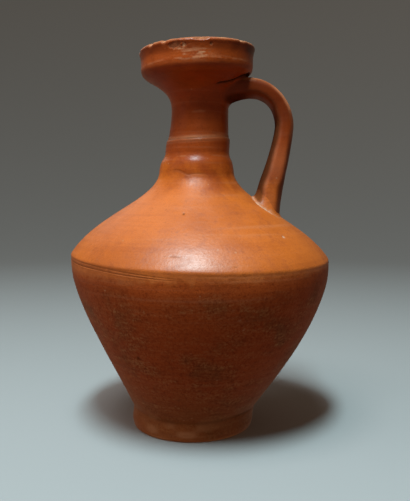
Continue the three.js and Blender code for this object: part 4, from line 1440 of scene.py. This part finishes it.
def slip_shade(g, noises, borders, colours):
    """The slip's colour before its marks: three shades by height, with stain and dust below the keel,
    clouds, spots, level streaks and fine grain."""
    clouds, spots, streaks, powder = noises.clouds, noises.spots, noises.streaks, noises.powder
    shade = g.mix(borders.over_keel, opaque(colours.brown_slip), opaque(colours.orange_slip))
    shade = g.mix(borders.over_neck, shade, opaque(colours.red_slip))
    stain = g.math("MULTIPLY", borders.weathered, g.span(clouds, 0.5, 0.72, 0.0, 0.45))
    shade = g.mix(stain, shade, opaque(colours.olive_stain))
    shade = g.mix(g.span(clouds, 0.35, 0.7, 0.0, 0.28), shade, opaque(CLOUD_TINT), "MULTIPLY")
    shade = g.mix(g.span(spots, 0.5, 0.75, 0.0, 0.3), shade, opaque(SPOT_TINT), "MULTIPLY")
    shade = g.mix(g.span(streaks, 0.52, 0.75, 0.0, 0.25), shade, opaque(STREAK_TINT), "MULTIPLY")
    shade = g.mix(g.span(streaks, 0.45, 0.28, 0.0, 0.07), shade, opaque(STREAK_LIGHT))
    patchy = g.span(noises.dashes, 0.4, 0.66, 0.15, 1.3)
    dusty = g.math("MULTIPLY", g.span(powder, 0.42, 0.68), g.span(clouds, 0.35, 0.6, 0.3, 0.75))
    dusty = g.math("MULTIPLY", borders.weathered, g.math("MULTIPLY", dusty, patchy))
    shade = g.mix(dusty, shade, opaque(colours.dust))
    dark = g.math("MULTIPLY", borders.below_keel, g.span(powder, 0.52, 0.3, 0.0, 0.7))
    shade = g.mix(dark, shade, opaque(POWDER_TINT), "MULTIPLY")
    shade = g.mix(borders.on_foot, shade, opaque(colours.olive_stain))
    return g.mix(g.span(noises.grain, 0.45, 0.7, 0.0, 0.3), shade, opaque(GRAIN_TINT), "MULTIPLY")


def flecked(g, shade, place, clay):
    """A shade with small flecks of clay: the middles of a few cells out of many."""
    cells = g.add("ShaderNodeTexVoronoi", {"Vector": place, "Scale": 210.0})
    drawn = g.add("ShaderNodeSeparateColor", {0: cells.outputs["Color"]}).outputs[0]
    fleck = g.math("MULTIPLY", g.span(drawn, 0.9, 0.93), g.span(cells.outputs["Distance"], 0.16, 0.07))
    return g.mix(g.math("MULTIPLY", fleck, 0.55), shade, opaque(clay))


def slip_material(scene):
    """Red slip with flecks, then painted shade as dark red slip, bare clay, grime that is also painted shade
    in creases, and lime where the marks say so. Its surface is satin, and dull where clay, grime or lime
    lies. It is made once and shared by the slipped members."""
    name = "weathered_slip"
    if name in bpy.data.materials:
        return bpy.data.materials[name]
    colours = scene.jug_colours
    g = ShaderGraph(name)
    place = g.add("ShaderNodeTexCoord").outputs["Object"]
    noises = slip_noises(g, place)
    borders = slip_borders(g, scene, place, noises)
    bare = g.mark("bare")
    grime = g.mark("grime")
    lime = g.mark("lime")
    shade = flecked(g, slip_shade(g, noises, borders, colours), place, colours.clay)
    # Painted shade: dark red slip where the jug is in shade
    shade = g.mix(g.mark("painted_shade"), shade, opaque(colours.painted_shade_colour))
    shade = g.mix(bare, shade, opaque(colours.clay))
    # Grime, which is also painted shade in creases, cracks and pits
    shade = g.mix(grime, shade, opaque(colours.grime))
    chalk = g.math("MULTIPLY", lime, g.span(noises.spots, 0.35, 0.55))
    shade = g.mix(chalk, shade, opaque(colours.lime))

    satin = g.math("ADD", g.span(noises.spots, 0.35, 0.7, -0.04, 0.04),
                   g.span(borders.height, SATIN_FROM, SATIN_FULL, 0.46, 0.36))
    dirt_and_shade = g.math("MINIMUM", 1.0, g.math("MULTIPLY", grime, 1.25))
    dull = g.math("MAXIMUM", g.span(bare, 0.0, 0.5, 0.0, 0.85), dirt_and_shade)
    roughness = g.math("MAXIMUM", satin, g.math("MAXIMUM", dull, g.math("MULTIPLY", lime, 0.9)))
    shine = g.math("MULTIPLY", g.span(borders.height, SHINE_FULL, SHINE_FAINT, 0.9, 0.28),
                   g.math("SUBTRACT", 1.0, dull))
    shine = g.math("MULTIPLY", shine, g.span(borders.over_keel, 0.0, 1.0, 0.2, 1.0))
    relief = g.math("ADD", g.math("MULTIPLY", noises.grain, 0.35), g.math("MULTIPLY", noises.streaks, 0.6))
    relief = g.math("ADD", relief, g.math("MULTIPLY", noises.peel, 0.9))
    bumped = g.add("ShaderNodeBump", {"Strength": 0.6, "Distance": 0.0002, "Height": relief})
    surface = g.add("ShaderNodeBsdfPrincipled", {
        "Base Color": shade,
        "Roughness": roughness,
        "Normal": bumped.outputs["Normal"],
        "IOR": 1.5,
        "Specular IOR Level": shine,
    })
    g.add("ShaderNodeOutputMaterial", {"Surface": surface.outputs["BSDF"]})
    return g.material


CLAY_CLOUD_TINT = (0.55, 0.4, 0.3)
CLAY_GRAIN_TINT = (0.5, 0.35, 0.28)


def clay_material(colours):
    """Bare clay inside the jug: one shade with clouds, grain and a rough matte surface."""
    g = ShaderGraph("thumbed_clay")
    place = g.add("ShaderNodeTexCoord").outputs["Object"]
    clouds = g.noise(place, 60, 6, 0.6)
    grain = g.noise(place, 1200, 4, 0.6)
    shade = opaque(colours.inside_clay)
    shade = g.mix(g.span(clouds, 0.35, 0.7, 0.0, 0.4), shade, opaque(CLAY_CLOUD_TINT), "MULTIPLY")
    shade = g.mix(g.span(grain, 0.45, 0.7, 0.0, 0.4), shade, opaque(CLAY_GRAIN_TINT), "MULTIPLY")
    bumped = g.add("ShaderNodeBump", {"Strength": 0.6, "Distance": 0.0003, "Height": grain})
    surface = g.add("ShaderNodeBsdfPrincipled", {
        "Base Color": shade,
        "Roughness": g.span(clouds, 0.3, 0.7, 0.78, 0.92),
        "Normal": bumped.outputs["Normal"],
    })
    g.add("ShaderNodeOutputMaterial", {"Surface": surface.outputs["BSDF"]})
    return g.material


# Stage

# Where the lights stand, how wide they are and where they aim, in metres
LIGHT_AIM = (0, 0, 0.13)
KEY_PLACE = (-0.155, -0.33, 1.08)
KEY_WIDTH = 0.5
GLINT_PLACE = (-0.07, -0.42, 1.05)
GLINT_WIDTH = 0.13
GLINT_HEIGHT = 0.42
HAZE_PLACE = (-0.3, 0.85, 0.95)
HAZE_WIDTH = 1.2
LEFT_PLACE = (-1.0, -0.3, 0.6)
LEFT_WIDTH = 0.8

# How far directions rise where the room is all ground or all sky, and its light's share at both sides
GROUND_RISE, SKY_RISE = -0.4, 0.6
ROOM_LEFT_SHARE, ROOM_RIGHT_SHARE = 1.2, 0.75


def soft_light(name, place, aim, size, power):
    """A round area light at a place, turned towards its aim."""
    data = bpy.data.lights.new(name, "AREA")
    data.shape = "DISK"
    data.size = size
    data.energy = power
    light = bpy.data.objects.new(name, data)
    light.location = place
    light.rotation_euler = (Vector(aim) - Vector(place)).to_track_quat("-Z", "Y").to_euler()
    bpy.context.scene.collection.objects.link(light)
    return light


class JUG_OT_stage(bpy.types.Operator):
    """Set up the pale floor, the soft lights, the dim room and the camera"""

    bl_idname = "jug.stage"
    bl_label = "Stage"

    def execute(self, context):
        scene = context.scene
        stage = scene.jug_stage
        self.make_floor(stage)
        self.make_lights(stage)
        self.make_room(scene, stage)
        self.make_camera(scene, stage)
        scene.view_settings.view_transform = "Standard"
        return {"FINISHED"}

    def make_floor(self, stage):
        """A floor turned round the Z axis: flat, then a quarter circle that rises all round."""
        bend = np.linspace(0, math.pi / 2, FLOOR_ROWS)
        radius = np.concatenate([FLOOR_FLAT_RADII, stage.floor_radius + stage.floor_rise * np.sin(bend)])
        height = np.concatenate([np.zeros(len(FLOOR_FLAT_RADII)), stage.floor_rise * (1 - np.cos(bend))])
        theta = np.linspace(0, 2 * math.pi, FLOOR_COLUMNS, endpoint=False)
        rings = turned_ring(np.stack([radius, height], axis=1), theta)
        index = np.arange(len(radius) * FLOOR_COLUMNS).reshape(len(radius), FLOOR_COLUMNS)
        beside = np.roll(index, -1, axis=1)
        quads = np.stack([index[:-1], index[1:], beside[1:], beside[:-1]], axis=-1).reshape(-1, 4)
        middle = np.stack([beside[0], index[0], np.full(FLOOR_COLUMNS, index.size)], axis=-1)
        mesh = bpy.data.meshes.new("floor")
        points = np.vstack([rings.reshape(-1, 3), [(0, 0, 0)]])
        mesh.from_pydata(points.tolist(), [], [*quads.tolist(), *middle[:, ::-1].tolist()])
        mesh.polygons.foreach_set("use_smooth", np.ones(len(mesh.polygons), bool))
        graph = ShaderGraph("floor_paper")
        inputs = {"Base Color": opaque(stage.floor_colour), "Roughness": 0.9, "Specular IOR Level": 0.0}
        surface = graph.add("ShaderNodeBsdfPrincipled", inputs)
        graph.add("ShaderNodeOutputMaterial", {"Surface": surface.outputs["BSDF"]})
        mesh.materials.append(graph.material)
        floor = bpy.data.objects.new("floor", mesh)
        floor.visible_diffuse = False
        floor.visible_glossy = False
        bpy.context.scene.collection.objects.link(floor)

    def make_lights(self, stage):
        """A broad light high over the front left, a narrow upright one that makes the shines, a dim one
        behind that only lays a sheen, and a weak one at the left."""
        key = soft_light("key", KEY_PLACE, LIGHT_AIM, KEY_WIDTH, stage.key_power)
        key.visible_glossy = False
        glint = soft_light("glint", GLINT_PLACE, LIGHT_AIM, GLINT_WIDTH, stage.glint_power)
        glint.data.shape = "ELLIPSE"
        glint.data.size_y = GLINT_HEIGHT
        glint.data.color = stage.glint_colour
        haze = soft_light("haze", HAZE_PLACE, LIGHT_AIM, HAZE_WIDTH, stage.haze_power)
        haze.visible_diffuse = False
        left = soft_light("left", LEFT_PLACE, LIGHT_AIM, LEFT_WIDTH, stage.left_power)
        left.visible_glossy = False

    def make_room(self, scene, stage):
        """A dim room that is brighter below than above, and darker at the right."""
        world = bpy.data.worlds.new("room")
        world.use_nodes = True
        nodes, links = world.node_tree.nodes, world.node_tree.links
        nodes.clear()
        direction = nodes.new("ShaderNodeTexCoord")
        parts = nodes.new("ShaderNodeSeparateXYZ")
        rise = nodes.new("ShaderNodeMapRange")
        fade = nodes.new("ShaderNodeMapRange")
        strength = nodes.new("ShaderNodeMath")
        strength.operation = "MULTIPLY"
        background = nodes.new("ShaderNodeBackground")
        output = nodes.new("ShaderNodeOutputWorld")
        rise.interpolation_type = "SMOOTHSTEP"
        upwards = {"From Min": GROUND_RISE, "From Max": SKY_RISE,
                   "To Min": stage.ground, "To Max": stage.sky}
        rightwards = {"From Min": -1, "From Max": 1,
                      "To Min": ROOM_LEFT_SHARE, "To Max": ROOM_RIGHT_SHARE}
        for node, span in ((rise, upwards), (fade, rightwards)):
            for key, value in span.items():
                node.inputs[key].default_value = value
        background.inputs["Color"].default_value = opaque(stage.room_colour)
        links.new(direction.outputs["Generated"], parts.inputs[0])
        links.new(parts.outputs["Z"], rise.inputs["Value"])
        links.new(parts.outputs["X"], fade.inputs["Value"])
        links.new(rise.outputs["Result"], strength.inputs[0])
        links.new(fade.outputs["Result"], strength.inputs[1])
        links.new(strength.outputs["Value"], background.inputs["Strength"])
        links.new(background.outputs["Background"], output.inputs["Surface"])
        scene.world = world

    def make_camera(self, scene, stage):
        """A camera in front of the jug that looks a little down and to the right."""
        data = bpy.data.cameras.new("camera")
        data.lens = stage.lens
        camera = bpy.data.objects.new("camera", data)
        camera.location = (0, -stage.camera_distance, stage.camera_height)
        camera.rotation_euler = Euler((math.pi / 2 - stage.camera_pitch, 0, -stage.camera_yaw))
        scene.collection.objects.link(camera)
        scene.camera = camera


class JUG_PT_panel(bpy.types.Panel):
    """Lists the jug's pieces and sizes"""

    bl_idname = "JUG_PT_panel"
    bl_label = "Jug"
    bl_space_type = "VIEW_3D"
    bl_region_type = "UI"
    bl_category = "Jug"

    def draw(self, context):
        for operator in OPERATORS:
            self.layout.operator(operator.bl_idname)
        for name, group in GROUPS.items():
            box = self.layout.box()
            box.label(text=group.__doc__)
            for key in group.__annotations__:
                box.prop(getattr(context.scene, name), key)


GROUPS = {
    "jug_form": JugForm,
    "jug_handle": JugHandle,
    "jug_settling": JugSettling,
    "jug_relief": JugRelief,
    "jug_colours": JugColours,
    "jug_stage": JugStage,
}
OPERATORS = (JUG_OT_foot_ring, JUG_OT_belly_bowl, JUG_OT_belly_seam_strip, JUG_OT_shoulder,
             JUG_OT_neck_collar, JUG_OT_mouth_funnel, JUG_OT_rim_band, JUG_OT_strap_handle,
             JUG_OT_handle_luting, JUG_OT_stage)
CLASSES = (*GROUPS.values(), *OPERATORS, JUG_PT_panel)


def register():
    for cls in CLASSES:
        bpy.utils.register_class(cls)
    for name, group in GROUPS.items():
        setattr(bpy.types.Scene, name, PointerProperty(type=group))


def unregister():
    for name in GROUPS:
        delattr(bpy.types.Scene, name)
    for cls in reversed(CLASSES):
        bpy.utils.unregister_class(cls)


def main():
    """Registers the classes, and builds every piece and the stage."""
    register()
    bpy.ops.jug.foot_ring()
    bpy.ops.jug.belly_bowl()
    bpy.ops.jug.belly_seam_strip()
    bpy.ops.jug.shoulder()
    bpy.ops.jug.neck_collar()
    bpy.ops.jug.mouth_funnel()
    bpy.ops.jug.rim_band()
    bpy.ops.jug.strap_handle()
    bpy.ops.jug.handle_luting()
    bpy.ops.jug.stage()


if __name__ == "__main__":
    main()
